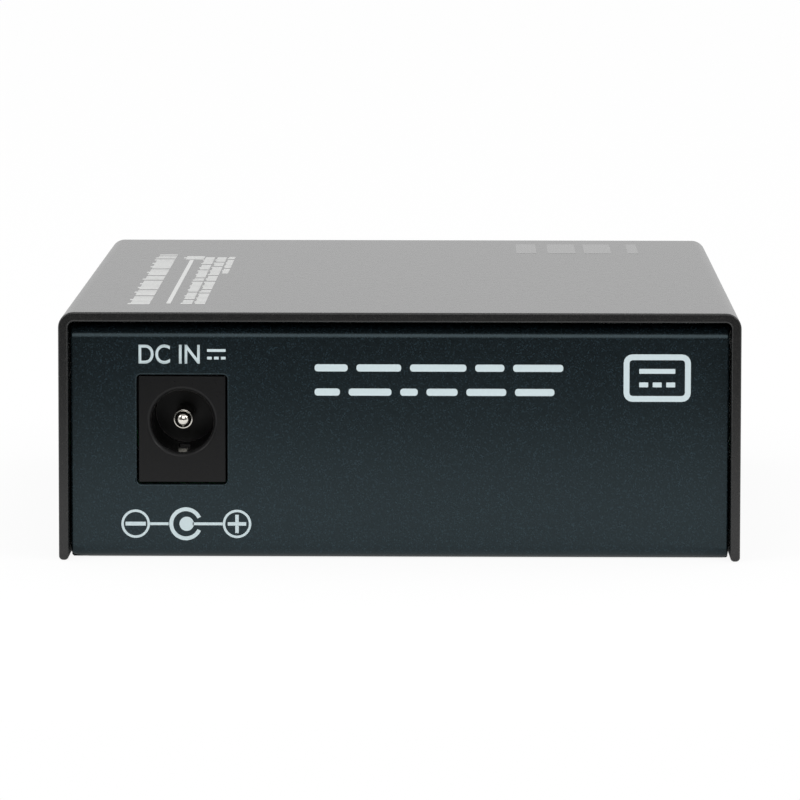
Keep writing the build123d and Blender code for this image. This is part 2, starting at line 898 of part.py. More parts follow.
def light_guide():
    """Clear moulding: a pipe for each light, bent down to the board, joined by a web with two feet."""
    floor = board_top + lamp_chip_height + guide_lift
    front = panel_outside + guide_proud
    pipes = []
    for x, z, row in lamp_places():
        back = guide_column(row) - guide_depth / 2
        inner = back + guide_depth
        top = z + guide_height / 2
        low = z - guide_height / 2
        outline = Polyline(
            (back, floor), (back, low), (back + guide_height, top), (front, top),
            (front, low), (inner, low), (inner, floor),
            close=True,
        )
        pipes.append(drawn_x(make_face(outline), about(x, guide_width)))
    rows = [guide_column(row) for row in range(lamp_rows)]
    wide = (lamp_columns - 1) * lamp_column_pitch + guide_width + 2 * guide_foot
    depth = (min(rows) - guide_depth / 2, max(rows) + guide_depth / 2)
    web_top = board_top + guide_web_height + guide_web
    web = block(about(switch_x, wide), depth, (board_top + guide_web_height, web_top))
    feet = [
        block(about(switch_x + x, guide_foot), depth, (board_top, web_top))
        for x in spread(2, wide - guide_foot)
    ]
    return web + feet + pipes


def indicator_lamps():
    """Six lamp chips soldered on the board under the light guide."""
    lamps = []
    for x, z, row in lamp_places():
        depth = about(guide_column(row), lamp_chip_depth)
        height = (board_top, board_top + lamp_chip_height)
        lamps.append(block(about(x, lamp_chip_width), depth, height))
    return group(lamps)


def core_half(side):
    """One E-shaped ferrite half: a back with two outer legs and a wider middle leg."""
    x, y = on_board((transformer_width_share, transformer_depth_share))
    leg_inner = core_width / 2 - core_leg
    plan = Polyline(
        (-core_width / 2, 0),
        (-leg_inner, 0),
        (-leg_inner, core_half_depth - core_back),
        (-core_centre_leg / 2, core_half_depth - core_back),
        (-core_centre_leg / 2, 0),
        (core_centre_leg / 2, 0),
        (core_centre_leg / 2, core_half_depth - core_back),
        (leg_inner, core_half_depth - core_back),
        (leg_inner, 0),
        (core_width / 2, 0),
        (core_width / 2, core_half_depth),
        (-core_width / 2, core_half_depth),
        close=True,
    )
    floor = board_top + core_lift
    half = drawn_z(make_face(plan), (floor, floor + core_height))
    half = Pos(x, y, 0) * (half if side > 0 else mirror(half, Plane.XZ))
    return half


def former_sizes():
    """Inside half width, inside half height, half length and height of the former's axis."""
    width = core_centre_leg / 2 + former_fit
    height = core_height / 2 + former_fit
    length = core_half_depth - core_back - former_fit
    return width, height, length, board_top + core_lift + core_height / 2


def transformer_former():
    """Coil former: a tube round the core's middle legs with a flange at each end and feet."""
    x, y = on_board((transformer_width_share, transformer_depth_share))
    width, height, length, axis = former_sizes()
    wall = former_wall
    outer = core_width / 2 - core_leg - former_fit
    tube = Pos(x, axis) * Rectangle(2 * (width + wall), 2 * (height + wall))
    former = drawn_y(tube, (y - length, y + length))
    for side in (-1, 1):
        flange = sorted((y + side * length, y + side * (length - former_flange)))
        top = axis + height + wall + winding_thickness
        former += block(about(x, 2 * outer), flange, (board_top, top))
    return former - block(about(x, 2 * width), about(y, 2 * (length + overrun)), about(axis, 2 * height))


def transformer_winding():
    """Taped winding round the former, between its flanges."""
    x, y = on_board((transformer_width_share, transformer_depth_share))
    width, height, length, axis = former_sizes()
    inner = (2 * (width + former_wall), 2 * (height + former_wall))
    outer = (inner[0] + 2 * winding_thickness, inner[1] + 2 * winding_thickness)
    ring = Pos(x, axis) * (Rectangle(*outer) - Rectangle(*inner))
    return drawn_y(ring, about(y, 2 * (length - former_flange)))


def input_capacitor():
    """Can capacitor on a moulded foot."""
    can = Pos(*on_board(capacitor_share)) * Circle(capacitor_radius)
    return drawn_z(can, (board_top + capacitor_base_height, board_top + capacitor_height))


def capacitor_foot():
    """Square moulded foot of the can capacitor, with two corners cut off."""
    x, y = on_board(capacitor_share)
    size = 2 * (capacitor_radius + capacitor_base_margin)
    foot = Box(size, size, capacitor_base_height)
    foot = chamfer(foot.edges().filter_by(Axis.Z).group_by(Axis.Y)[-1], capacitor_radius / 2)
    return Pos(x, y, board_top + capacitor_base_height / 2) * foot


def output_capacitor():
    """Moulded block capacitor, with leaning sides."""
    x, y = on_board(block_capacitor_share)
    body = tapered_body(block_capacitor_length, block_capacitor_width, block_capacitor_height, 0)
    return Pos(x, y, board_top) * body


def power_inductor():
    """Moulded square inductor with cut corners."""
    x, y = on_board(inductor_share)
    body = Box(inductor_width, inductor_width, inductor_height)
    body = chamfer(body.edges().filter_by(Axis.Z), inductor_corner)
    return Pos(x, y, board_top + inductor_height / 2) * body


def input_fuse():
    """Ceramic block between two solder caps."""
    x, y = on_board(fuse_share)
    floor = board_top + fuse_cap_wall
    top = board_top + fuse_height - fuse_cap_wall
    width = fuse_width - 2 * fuse_cap_wall
    return block(about(x, fuse_length - 2 * fuse_cap_wall), about(y, width), (floor, top))


def fuse_caps():
    """Metal caps over the fuse's ends."""
    x, y = on_board(fuse_share)
    cap = block(
        (x + fuse_length / 2 - fuse_cap, x + fuse_length / 2),
        about(y, fuse_width),
        (board_top, board_top + fuse_height),
    )
    cap -= input_fuse()
    return group([cap, mirror(cap, Plane.YZ.offset(x))])


def tapered_body(length, width, height, lift):
    """Moulded chip body, whose ends and sides lean in a little towards its top and bottom."""
    inset = (length - 2 * body_taper, width - 2 * body_taper)
    faces = [
        Pos(0, 0, lift) * Rectangle(*inset),
        Pos(0, 0, lift + height / 2) * Rectangle(length, width),
        Pos(0, 0, lift + height) * Rectangle(*inset),
    ]
    return loft(faces, ruled=True)


def rectifier_diodes():
    """Two diodes side by side."""
    x, y = on_board(diode_share)
    body = tapered_body(diode_length, diode_width, diode_height, diode_pad_height)
    return group([Pos(x, y + row, board_top) * body for row in spread(2, diode_spacing)])


def diode_pads():
    """Solder tabs under the diodes' ends."""
    x, y = on_board(diode_share)
    pads = []
    for row in spread(2, diode_spacing):
        for end in spread(2, diode_length - diode_pad):
            height = (board_top, board_top + diode_pad_height)
            pads.append(block(about(x + end, diode_pad), about(y + row, diode_width / 2), height))
    return group(pads)


def clock_crystal():
    """Flat metal can with cut corners."""
    x, y = on_board(crystal_share)
    can = Box(crystal_length, crystal_width, crystal_height)
    can = chamfer(can.edges().filter_by(Axis.Z), crystal_corner)
    return Pos(x, y, board_top + crystal_height / 2) * can


def converter_chip():
    """Square processor package with one corner cut off."""
    x, y = on_board(converter_share)
    body = Box(converter_size, converter_size, converter_height)
    corner = body.edges().filter_by(Axis.Z).sort_by(Axis.Y)[-1]
    body = chamfer(corner, converter_chamfer)
    return Pos(x, y, board_top + converter_height / 2) * body


def chip_legs(share, width, height, count, pitch):
    """Two rows of bent legs beside a chip body."""
    x, y = on_board(share)
    section = leg_section(width / 2, leg_lift + height / 2, width / 2 + leg_reach, 0, leg_sheet)
    legs = []
    for row in spread(count, pitch):
        leg = Pos(0, row, 0) * drawn_y(section, about(0, leg_width))
        legs += [Pos(x, y, board_top) * leg, Pos(x, y, board_top) * mirror(leg, Plane.YZ)]
    return group(legs)


def chip_body(share, length, width, height):
    """Tapered chip body that runs along Y."""
    x, y = on_board(share)
    return Pos(x, y, board_top) * tapered_body(width, length, height, leg_lift)


def small_chips():
    """Rows of small resistors and capacitors."""
    x, y = on_board(chip_share)
    chips = []
    for row in spread(chip_rows, chip_pitch):
        for column in spread(chip_columns, chip_pitch):
            body = block(about(0, chip_width), about(0, chip_length), (board_top, board_top + chip_height))
            chips.append(Pos(x + row, y + column, 0) * body)
    return group(chips)


def all_parts():
    """Every piece of the object by name."""
    jack_strap, jack_switch = power_jack_contacts()
    controller = (controller_share, controller_length, controller_width, controller_height)
    isolator = (isolator_share, isolator_length, isolator_width, isolator_height)
    parts = {
        "top_cover": top_cover(),
        "base_chassis": base_chassis(),
        "cover_screws": cover_screws(),
        "board_standoffs": board_standoffs(),
        "board_screws": board_screws(),
        "insulation_film": insulation_film(),
        "main_board": main_board(),
        "power_jack_body": power_jack_body(),
        "power_jack_pin": power_jack_pin(),
        "power_jack_strap": jack_strap,
        "power_jack_spring": power_jack_spring(),
        "power_jack_switch_contact": jack_switch,
        "network_port_shield": network_port_shield(),
        "network_port_body": network_port_body(),
        "network_port_wires": network_port_wires(),
        "optic_body": optic_body(),
        "optic_pins": optic_pins(),
        "switch_case": switch_case(),
        "switch_base": switch_base(),
        "switch_legs": switch_legs(),
        "light_guide": light_guide(),
        "indicator_lamps": indicator_lamps(),
        "transformer_core_front": core_half(1),
        "transformer_core_back": core_half(-1),
        "transformer_former": transformer_former(),
        "transformer_winding": transformer_winding(),
        "input_capacitor": input_capacitor(),
        "input_capacitor_foot": capacitor_foot(),
        "output_capacitor": output_capacitor(),
        "power_inductor": power_inductor(),
        "input_fuse": input_fuse(),
        "fuse_caps": fuse_caps(),
        "rectifier_diodes": rectifier_diodes(),
        "diode_pads": diode_pads(),
        "converter_chip": converter_chip(),
        "power_controller": chip_body(*controller),
        "power_controller_legs": chip_legs(
            controller_share, controller_width, controller_height, controller_legs, controller_pitch
        ),
        "line_isolator": chip_body(*isolator),
        "line_isolator_legs": chip_legs(
            isolator_share, isolator_width, isolator_height, isolator_legs, isolator_pitch
        ),
        "clock_crystal": clock_crystal(),
        "small_chips": small_chips(),
    }
    for name, x in zip(("transmit", "receive"), fibre_places()):
        parts[name + "_barrel"] = fibre_barrel(x)
        parts[name + "_clip"] = fibre_clip(x)
    for i, x in enumerate(switch_places()):
        parts[f"switch_lever_{i + 1}"] = switch_lever(x)
    return parts


os.makedirs("parts", exist_ok=True)
for name, shape in all_parts().items():
    export_step(shape, f"parts/{name}.step")
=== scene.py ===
import json
import logging
import math
from dataclasses import dataclass
from enum import Enum

import bpy
from mathutils import Matrix, Vector

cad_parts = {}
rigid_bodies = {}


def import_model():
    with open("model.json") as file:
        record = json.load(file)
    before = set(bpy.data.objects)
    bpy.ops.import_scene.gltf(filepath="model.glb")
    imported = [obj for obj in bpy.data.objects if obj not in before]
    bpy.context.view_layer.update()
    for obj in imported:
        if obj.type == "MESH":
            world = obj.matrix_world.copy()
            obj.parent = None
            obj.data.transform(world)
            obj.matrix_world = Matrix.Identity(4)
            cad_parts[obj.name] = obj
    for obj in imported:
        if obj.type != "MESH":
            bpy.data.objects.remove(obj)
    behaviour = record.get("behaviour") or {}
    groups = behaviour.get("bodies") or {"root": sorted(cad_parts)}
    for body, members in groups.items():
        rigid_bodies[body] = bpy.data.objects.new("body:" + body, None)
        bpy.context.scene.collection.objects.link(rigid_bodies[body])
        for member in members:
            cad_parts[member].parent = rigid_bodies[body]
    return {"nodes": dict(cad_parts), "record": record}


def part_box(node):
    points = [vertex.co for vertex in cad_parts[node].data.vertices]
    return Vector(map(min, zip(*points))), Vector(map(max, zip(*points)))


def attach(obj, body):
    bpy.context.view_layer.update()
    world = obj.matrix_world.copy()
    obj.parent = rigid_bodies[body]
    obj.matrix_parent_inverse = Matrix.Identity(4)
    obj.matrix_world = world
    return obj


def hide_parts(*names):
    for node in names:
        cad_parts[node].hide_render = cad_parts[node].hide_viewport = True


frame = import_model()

LOG = logging.getLogger("media_converter")

MM = 0.001
CASE = "case"

# The distance at which points merge, in metres, and the angles of a flat and of a sharp edge.
WELD = 2e-6
FLAT_ANGLE = math.radians(0.6)
CREASE_ANGLE = math.radians(32)

# Thickness and sink of printed ink, in millimetres, and how bold its letters are.
INK_THICKNESS = 0.03
INK_SINK = 0.01
LETTER_WEIGHT = 0.01

# Faces across a bar's corner, least ratio of its side to the corner's radius, sides of a ring.
CORNER_STEPS = 4
CORNER_LIMIT = 2.05
RING_SIDES = 72

# Octaves of every pattern's noise and their strength, and the lowest roughness it may reach.
NOISE_DETAIL = 2.0
NOISE_ROUGHNESS = 0.55
LEAST_ROUGHNESS = 0.02

Piece = bpy.types.Object
Material = bpy.types.Material
Holder = bpy.types.Material | bpy.types.World
Point = tuple[float, float, float]
Station = tuple[float, float]
Bar = tuple[float, float, float, float]
Box = tuple[Point, Point]

# The record's material slot of each CAD node.
SLOTS: dict[str, str] = {
    row["node"]: row["material_slot"] for row in frame["record"]["subparts"]
}


# ---------------------------------------------------------------- modelling


def select_only(*pieces: Piece) -> None:
    """Select these objects alone, and make the first one active.

    Args:
        pieces: The objects to select.
    """
    if bpy.context.mode != "OBJECT":
        bpy.ops.object.mode_set(mode="OBJECT")
    bpy.ops.object.select_all(action="DESELECT")
    for piece in pieces:
        piece.select_set(True)
    bpy.context.view_layer.objects.active = pieces[0]


def ready() -> None:
    """Leave edit mode, and select only a CAD node, so that a new object can be added."""
    select_only(next(iter(frame["nodes"].values())))


def edit_all() -> None:
    """Open the active mesh for editing, with all of it selected."""
    bpy.ops.object.mode_set(mode="EDIT")
    bpy.ops.mesh.select_all(action="SELECT")


def started(name: str) -> Piece:
    """Name the primitive that was just added, and its mesh.

    Args:
        name: The piece's name.

    Returns:
        The new object.
    """
    piece = bpy.context.object
    piece.name = name
    piece.data.name = name
    return piece


def centre_of(node: str) -> Vector:
    """Find the middle of a CAD node's box.

    Args:
        node: The CAD node.

    Returns:
        The middle, in millimetres.
    """
    low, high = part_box(node)
    return (low + high) / (2 * MM)


def with_modifier(piece: Piece, kind: str, **settings: object) -> None:
    """Add a modifier and apply it.

    Args:
        piece: The object to change.
        kind: The modifier's type.
        settings: The modifier's settings.
    """
    select_only(piece)
    modifier = piece.modifiers.new(kind.lower(), kind)
    for key, value in settings.items():
        setattr(modifier, key, value)
    bpy.ops.object.modifier_apply(modifier=modifier.name)


def weigh_edges(piece: Piece, sharp_box: Box) -> None:
    """Mark a piece's sharp edges for rounding, apart from those inside a box.

    Args:
        piece: The object to change.
        sharp_box: Lowest and highest corner of the box, in millimetres.
    """
    select_only(piece)
    bpy.ops.object.mode_set(mode="EDIT")
    bpy.ops.mesh.select_mode(type="EDGE")
    bpy.ops.mesh.select_all(action="DESELECT")
    bpy.ops.mesh.edges_select_sharp(sharpness=CREASE_ANGLE)
    bpy.ops.object.mode_set(mode="OBJECT")
    low, high = sharp_box
    inside = [
        all(low[i] * MM < vertex.co[i] < high[i] * MM for i in range(3))
        for vertex in piece.data.vertices
    ]
    weights = piece.data.attributes.new("bevel_weight_edge", "FLOAT", "EDGE")
    for edge in piece.data.edges:
        spared = all(inside[index] for index in edge.vertices)
        weights.data[edge.index].value = float(edge.select and not spared)


def eased_edges(
    piece: Piece, ease: float, steps: int, sharp_box: Box | None = None
) -> None:
    """Round a piece's edges a little, and shade its curves smoothly.

    Args:
        piece: The object to change.
        ease: Width of the rounding, in millimetres.
        steps: Number of faces across the rounding.
        sharp_box: A box whose edges stay sharp.
    """
    if sharp_box:
        weigh_edges(piece, sharp_box)
    with_modifier(
        piece, "BEVEL", width=ease * MM, segments=steps,
        limit_method="WEIGHT" if sharp_box else "ANGLE",
        angle_limit=CREASE_ANGLE, use_clamp_overlap=False,
    )
    with_modifier(piece, "WELD", merge_threshold=WELD)
    bpy.ops.object.shade_smooth_by_angle(angle=CREASE_ANGLE)
    with_modifier(piece, "WEIGHTED_NORMAL", keep_sharp=True)


def settled(piece: Piece, turn: Point, place: Point) -> None:
    """Turn a piece about the origin, move it, and put its place into its mesh.

    Args:
        piece: The object to move.
        turn: Turns about X, Y and Z, in degrees.
        place: The new place of the piece's own origin, in millimetres.
    """
    select_only(piece)
    piece.rotation_euler = [math.radians(angle) for angle in turn]
    piece.location = Vector(place) * MM
    bpy.ops.object.transform_apply()


def turned(name: str, stations: list[Station], sides: int) -> Piece:
    """Turn a closed piece about Z, by extruding and resizing one face along a profile.

    Args:
        name: The piece's name.
        stations: Height and radius along the profile, in millimetres.
        sides: Number of faces round the piece.

    Returns:
        The new object, not yet in its place.
    """
    height, radius = stations[0]
    ready()
    bpy.ops.mesh.primitive_circle_add(
        vertices=sides, radius=radius * MM, fill_type="NGON", location=(0, 0, height * MM)
    )
    piece = started(name)
    bpy.ops.object.transform_apply()
    edit_all()
    bpy.ops.mesh.duplicate()
    for next_height, next_radius in stations[1:]:
        rise = (next_height - height) * MM
        bpy.ops.mesh.extrude_region_move(TRANSFORM_OT_translate={"value": (0, 0, rise)})
        share = next_radius / radius
        bpy.ops.transform.resize(
            value=(share, share, 1), center_override=(0, 0, next_height * MM)
        )
        height, radius = next_height, next_radius
    bpy.ops.mesh.select_all(action="SELECT")
    bpy.ops.mesh.remove_doubles(threshold=WELD)
    bpy.ops.mesh.normals_make_consistent(inside=False)
    bpy.ops.object.mode_set(mode="OBJECT")
    bpy.ops.object.shade_smooth_by_angle(angle=CREASE_ANGLE)
    return piece


def add_bars(bars: list[Bar], rounding: float) -> None:
    """Add flat bars with rounded corners to the mesh that is being edited.

    Args:
        bars: Left, bottom, right and top of each bar, in millimetres.
        rounding: Radius of the corners, in millimetres.
    """
    for left, bottom, right, top in bars:
        bpy.ops.mesh.select_all(action="DESELECT")
        middle = ((left + right) / 2 * MM, (bottom + top) / 2 * MM, 0)
        bpy.ops.mesh.primitive_plane_add(size=1, location=middle)
        size = ((right - left) * MM, (top - bottom) * MM, 1)
        bpy.ops.transform.resize(value=size, center_override=middle)
        radius = min(rounding, (right - left) / CORNER_LIMIT, (top - bottom) / CORNER_LIMIT)
        if radius > 0:
            bpy.ops.mesh.bevel(offset=radius * MM, segments=CORNER_STEPS, affect="VERTICES")


def add_ring(middle: Station, outer: float, stroke: float, gap: float) -> None:
    """Add a flat ring, or a broken one, to the mesh that is being edited.

    Args:
        middle: Centre of the ring, in millimetres.
        outer: Outer radius, in millimetres.
        stroke: Width of the ring's line, in millimetres.
        gap: Half of the angle left open on the right, in degrees.
    """
    bpy.ops.mesh.select_all(action="DESELECT")
    centre = Vector((middle[0] * MM, middle[1] * MM, 0))
    bpy.ops.mesh.primitive_circle_add(vertices=RING_SIDES, radius=outer * MM, location=centre)
    bpy.ops.mesh.extrude_edges_move()
    share = (outer - stroke) / outer
    bpy.ops.transform.resize(value=(share, share, 1), center_override=centre)
    bpy.ops.mesh.select_linked()
    if gap == 0:
        return
    mesh = bpy.context.object.data
    bpy.ops.object.mode_set(mode="OBJECT")
    chosen = []
    for polygon in mesh.polygons:
        arm = polygon.center - centre
        if polygon.select and abs(math.degrees(math.atan2(arm.y, arm.x))) < gap:
            chosen.append(polygon.index)
    bpy.ops.object.mode_set(mode="EDIT")
    bpy.ops.mesh.select_mode(type="FACE")
    bpy.ops.mesh.select_all(action="DESELECT")
    bpy.ops.object.mode_set(mode="OBJECT")
    for index in chosen:
        mesh.polygons[index].select = True
    bpy.ops.object.mode_set(mode="EDIT")
    bpy.ops.mesh.delete(type="FACE")
    bpy.ops.mesh.select_mode(type="VERT")


def new_drawing(name: str) -> Piece:
    """Start an empty flat drawing and leave it open for editing.

    Args:
        name: The piece's name.

    Returns:
        The new object, in edit mode.
    """
    ready()
    bpy.ops.mesh.primitive_plane_add(size=MM)
    drawing = started(name)
    edit_all()
    bpy.ops.mesh.delete(type="VERT")
    return drawing


def lettering(name: str, words: str, box: Bar) -> Piece:
    """Set words in a plain face as a flat mesh that fills a box.

    Args:
        name: The piece's name.
        words: The words to set.
        box: Left, bottom, right and top of the words, in millimetres.

    Returns:
        The flat mesh, facing up.
    """
    ready()
    bpy.ops.object.text_add(location=(0, 0, 0))
    bpy.context.object.data.body = words
    bpy.context.object.data.offset = LETTER_WEIGHT
    bpy.ops.object.convert(target="MESH")
    piece = started(name)
    corners = [vertex.co for vertex in piece.data.vertices]
    low = Vector((min(c.x for c in corners), min(c.y for c in corners), 0))
    high = Vector((max(c.x for c in corners), max(c.y for c in corners), 0))
    left, bottom, right, top = [edge * MM for edge in box]
    across = (right - left) / (high.x - low.x)
    up = (top - bottom) / (high.y - low.y)
    edit_all()
    bpy.ops.mesh.remove_doubles(threshold=WELD)
    bpy.ops.transform.translate(value=-low)
    bpy.ops.transform.resize(value=(across, up, 1), center_override=(0, 0, 0))
    bpy.ops.transform.translate(value=(left, bottom, 0))
    bpy.ops.object.mode_set(mode="OBJECT")
    return piece


# ---------------------------------------------------------------- materials


def linear(code: str) -> tuple[float, float, float, float]:
    """Turn an sRGB hex colour into the linear colour that a shader takes.

    Args:
        code: The colour as #RRGGBB.

    Returns:
        Red, green, blue and alpha.
    """
    shares = [int(code[start:start + 2], 16) / 255 for start in (1, 3, 5)]
    plain = [s / 12.92 if s <= 0.04045 else ((s + 0.055) / 1.055) ** 2.4 for s in shares]
    return (*plain, 1.0)


def add_node(
    material: Holder,
    kind: str,
    links: dict[str | int, bpy.types.NodeSocket] | None = None,
    settings: dict[str, object] | None = None,
    **values: object,
) -> bpy.types.Node:
    """Add one shader node with its settings, values and links.

    Args:
        material: The material, or world, that the node joins.
        kind: The node's type, without ShaderNode in front.
        links: Sockets that feed the node, by the name or number of its input.
        settings: The node's own settings.
        values: Constant inputs, with an underscore for each space in a name.

    Returns:
        The new node.
    """
    node = material.node_tree.nodes.new("ShaderNode" + kind)
    for key, value in (settings or {}).items():
        setattr(node, key, value)
    for key, value in values.items():
        node.inputs[key.replace("_", " ")].default_value = value
    for key, source in (links or {}).items():
        material.node_tree.links.new(source, node.inputs[key])
    return node


def emptied(holder: Holder) -> None:
    """Give a new material, or world, an empty node tree.

    Args:
        holder: The material or world.
    """
    holder.use_nodes = True
    holder.node_tree.nodes.clear()


def looked_at(holder: Holder, path: bpy.types.Node) -> bpy.types.NodeSocket:
    """Tell what the camera sees, straight or through glass, from everything else.

    Args:
        holder: The material or world.
        path: Its light path node.

    Returns:
        A socket that is 1 for what the camera sees.
    """
    return add_node(
        holder, "Math",
        {0: path.outputs["Is Camera Ray"], 1: path.outputs["Is Transmission Ray"]},
        {"operation": "MAXIMUM"},
    ).outputs["Value"]


class Weave(Enum):
    """How a finish's fine pattern lies."""

    EVEN = (1.0, 1.0, 1.0)
    ALONG_X = (0.08, 1.0, 1.0)
    ALONG_Y = (1.0, 0.08, 1.0)
    ALONG_Z = (1.0, 1.0, 0.08)


@dataclass(frozen=True)
class Finish:
    """A material and how its surface was made, with a fine pattern in colour, gloss and relief."""

    name: str
    colour: str
    tint: str
    roughness: float
    grain: float
    relief: float
    metallic: float = 0.0
    ior: float = 1.5
    mirror_tint: str = "#FFFFFF"
    gloss_spread: float = 0.06
    coat: float = 0.0
    coat_roughness: float = 0.2
    transmission: float = 0.0
    weave: Weave = Weave.EVEN

    def build(self) -> Material:
        """Make the material.

        Returns:
            The new material.
        """
        material = bpy.data.materials.new(self.name)
        emptied(material)
        shader = add_node(
            material, "BsdfPrincipled",
            Base_Color=linear(self.colour), Roughness=self.roughness, Metallic=self.metallic,
            Coat_Weight=self.coat, Coat_Roughness=self.coat_roughness,
            Transmission_Weight=self.transmission,
        )
        if self.metallic == 0:
            shader.inputs["IOR"].default_value = self.ior
            shader.inputs["Specular Tint"].default_value = linear(self.mirror_tint)
        add_node(material, "OutputMaterial", {"Surface": shader.outputs["BSDF"]})
        self.pattern(material, shader)
        return material

    def pattern(self, material: Material, shader: bpy.types.Node) -> None:
        """Vary the colour, gloss and relief with one noise, whose spots have the grain's size.

        Args:
            material: The material.
            shader: Its main shader.
        """
        place = add_node(material, "TexCoord")
        mapping = add_node(
            material, "Mapping", {"Vector": place.outputs["Object"]},
            Scale=self.weave.value,
        )
        noise = add_node(
            material, "TexNoise", {"Vector": mapping.outputs["Vector"]},
            Scale=1 / (self.grain * MM), Detail=NOISE_DETAIL, Roughness=NOISE_ROUGHNESS,
        )
        colours = add_node(
            material, "MixRGB", {"Fac": noise.outputs["Fac"]},
            Color1=linear(self.colour), Color2=linear(self.tint),
        )
        gloss = add_node(
            material, "MapRange", {"Value": noise.outputs["Fac"]},
            To_Min=max(self.roughness - self.gloss_spread, LEAST_ROUGHNESS),
            To_Max=min(self.roughness + self.gloss_spread, 1.0),
        )
        bump = add_node(
            material, "Bump", {"Height": noise.outputs["Fac"]},
            Strength=1.0, Distance=self.relief * MM,
        )
        links = material.node_tree.links
        links.new(colours.outputs["Color"], shader.inputs["Base Color"])
        links.new(gloss.outputs["Result"], shader.inputs["Roughness"])
        links.new(bump.outputs["Normal"], shader.inputs["Normal"])


@dataclass(frozen=True)
class FleckedFinish(Finish):
    """A finish with small flecks of another colour scattered over its pattern."""

    fleck: str = "#808080"
    fleck_size: float = 0.15
    fleck_share: float = 0.1
    fleck_rarity: float = 1.0

    def pattern(self, material: Material, shader: bpy.types.Node) -> None:
        """Add flecks, each one cell of a fine mosaic, over the plain pattern.

        Args:
            material: The material.
            shader: Its main shader.
        """
        super().pattern(material, shader)
        plain = shader.inputs["Base Color"].links[0].from_socket
        place = add_node(material, "TexCoord")
        cells = add_node(
            material, "TexVoronoi", {"Vector": place.outputs["Object"]},
            Scale=1 / (self.fleck_size * MM),
        )
        parts = add_node(material, "SeparateColor", {"Color": cells.outputs["Color"]})
        chosen = add_node(
            material, "MapRange", {"Value": parts.outputs["Red"]},
            From_Min=1 - self.fleck_share, From_Max=1.0,
        )
        rare = add_node(
            material, "Math", {0: chosen.outputs["Result"]}, {"operation": "POWER"}
        )
        rare.inputs[1].default_value = self.fleck_rarity
        mixed = add_node(
            material, "MixRGB",
            {"Fac": rare.outputs["Value"], "Color1": plain}, Color2=linear(self.fleck),
        )
        material.node_tree.links.new(mixed.outputs["Color"], shader.inputs["Base Color"])


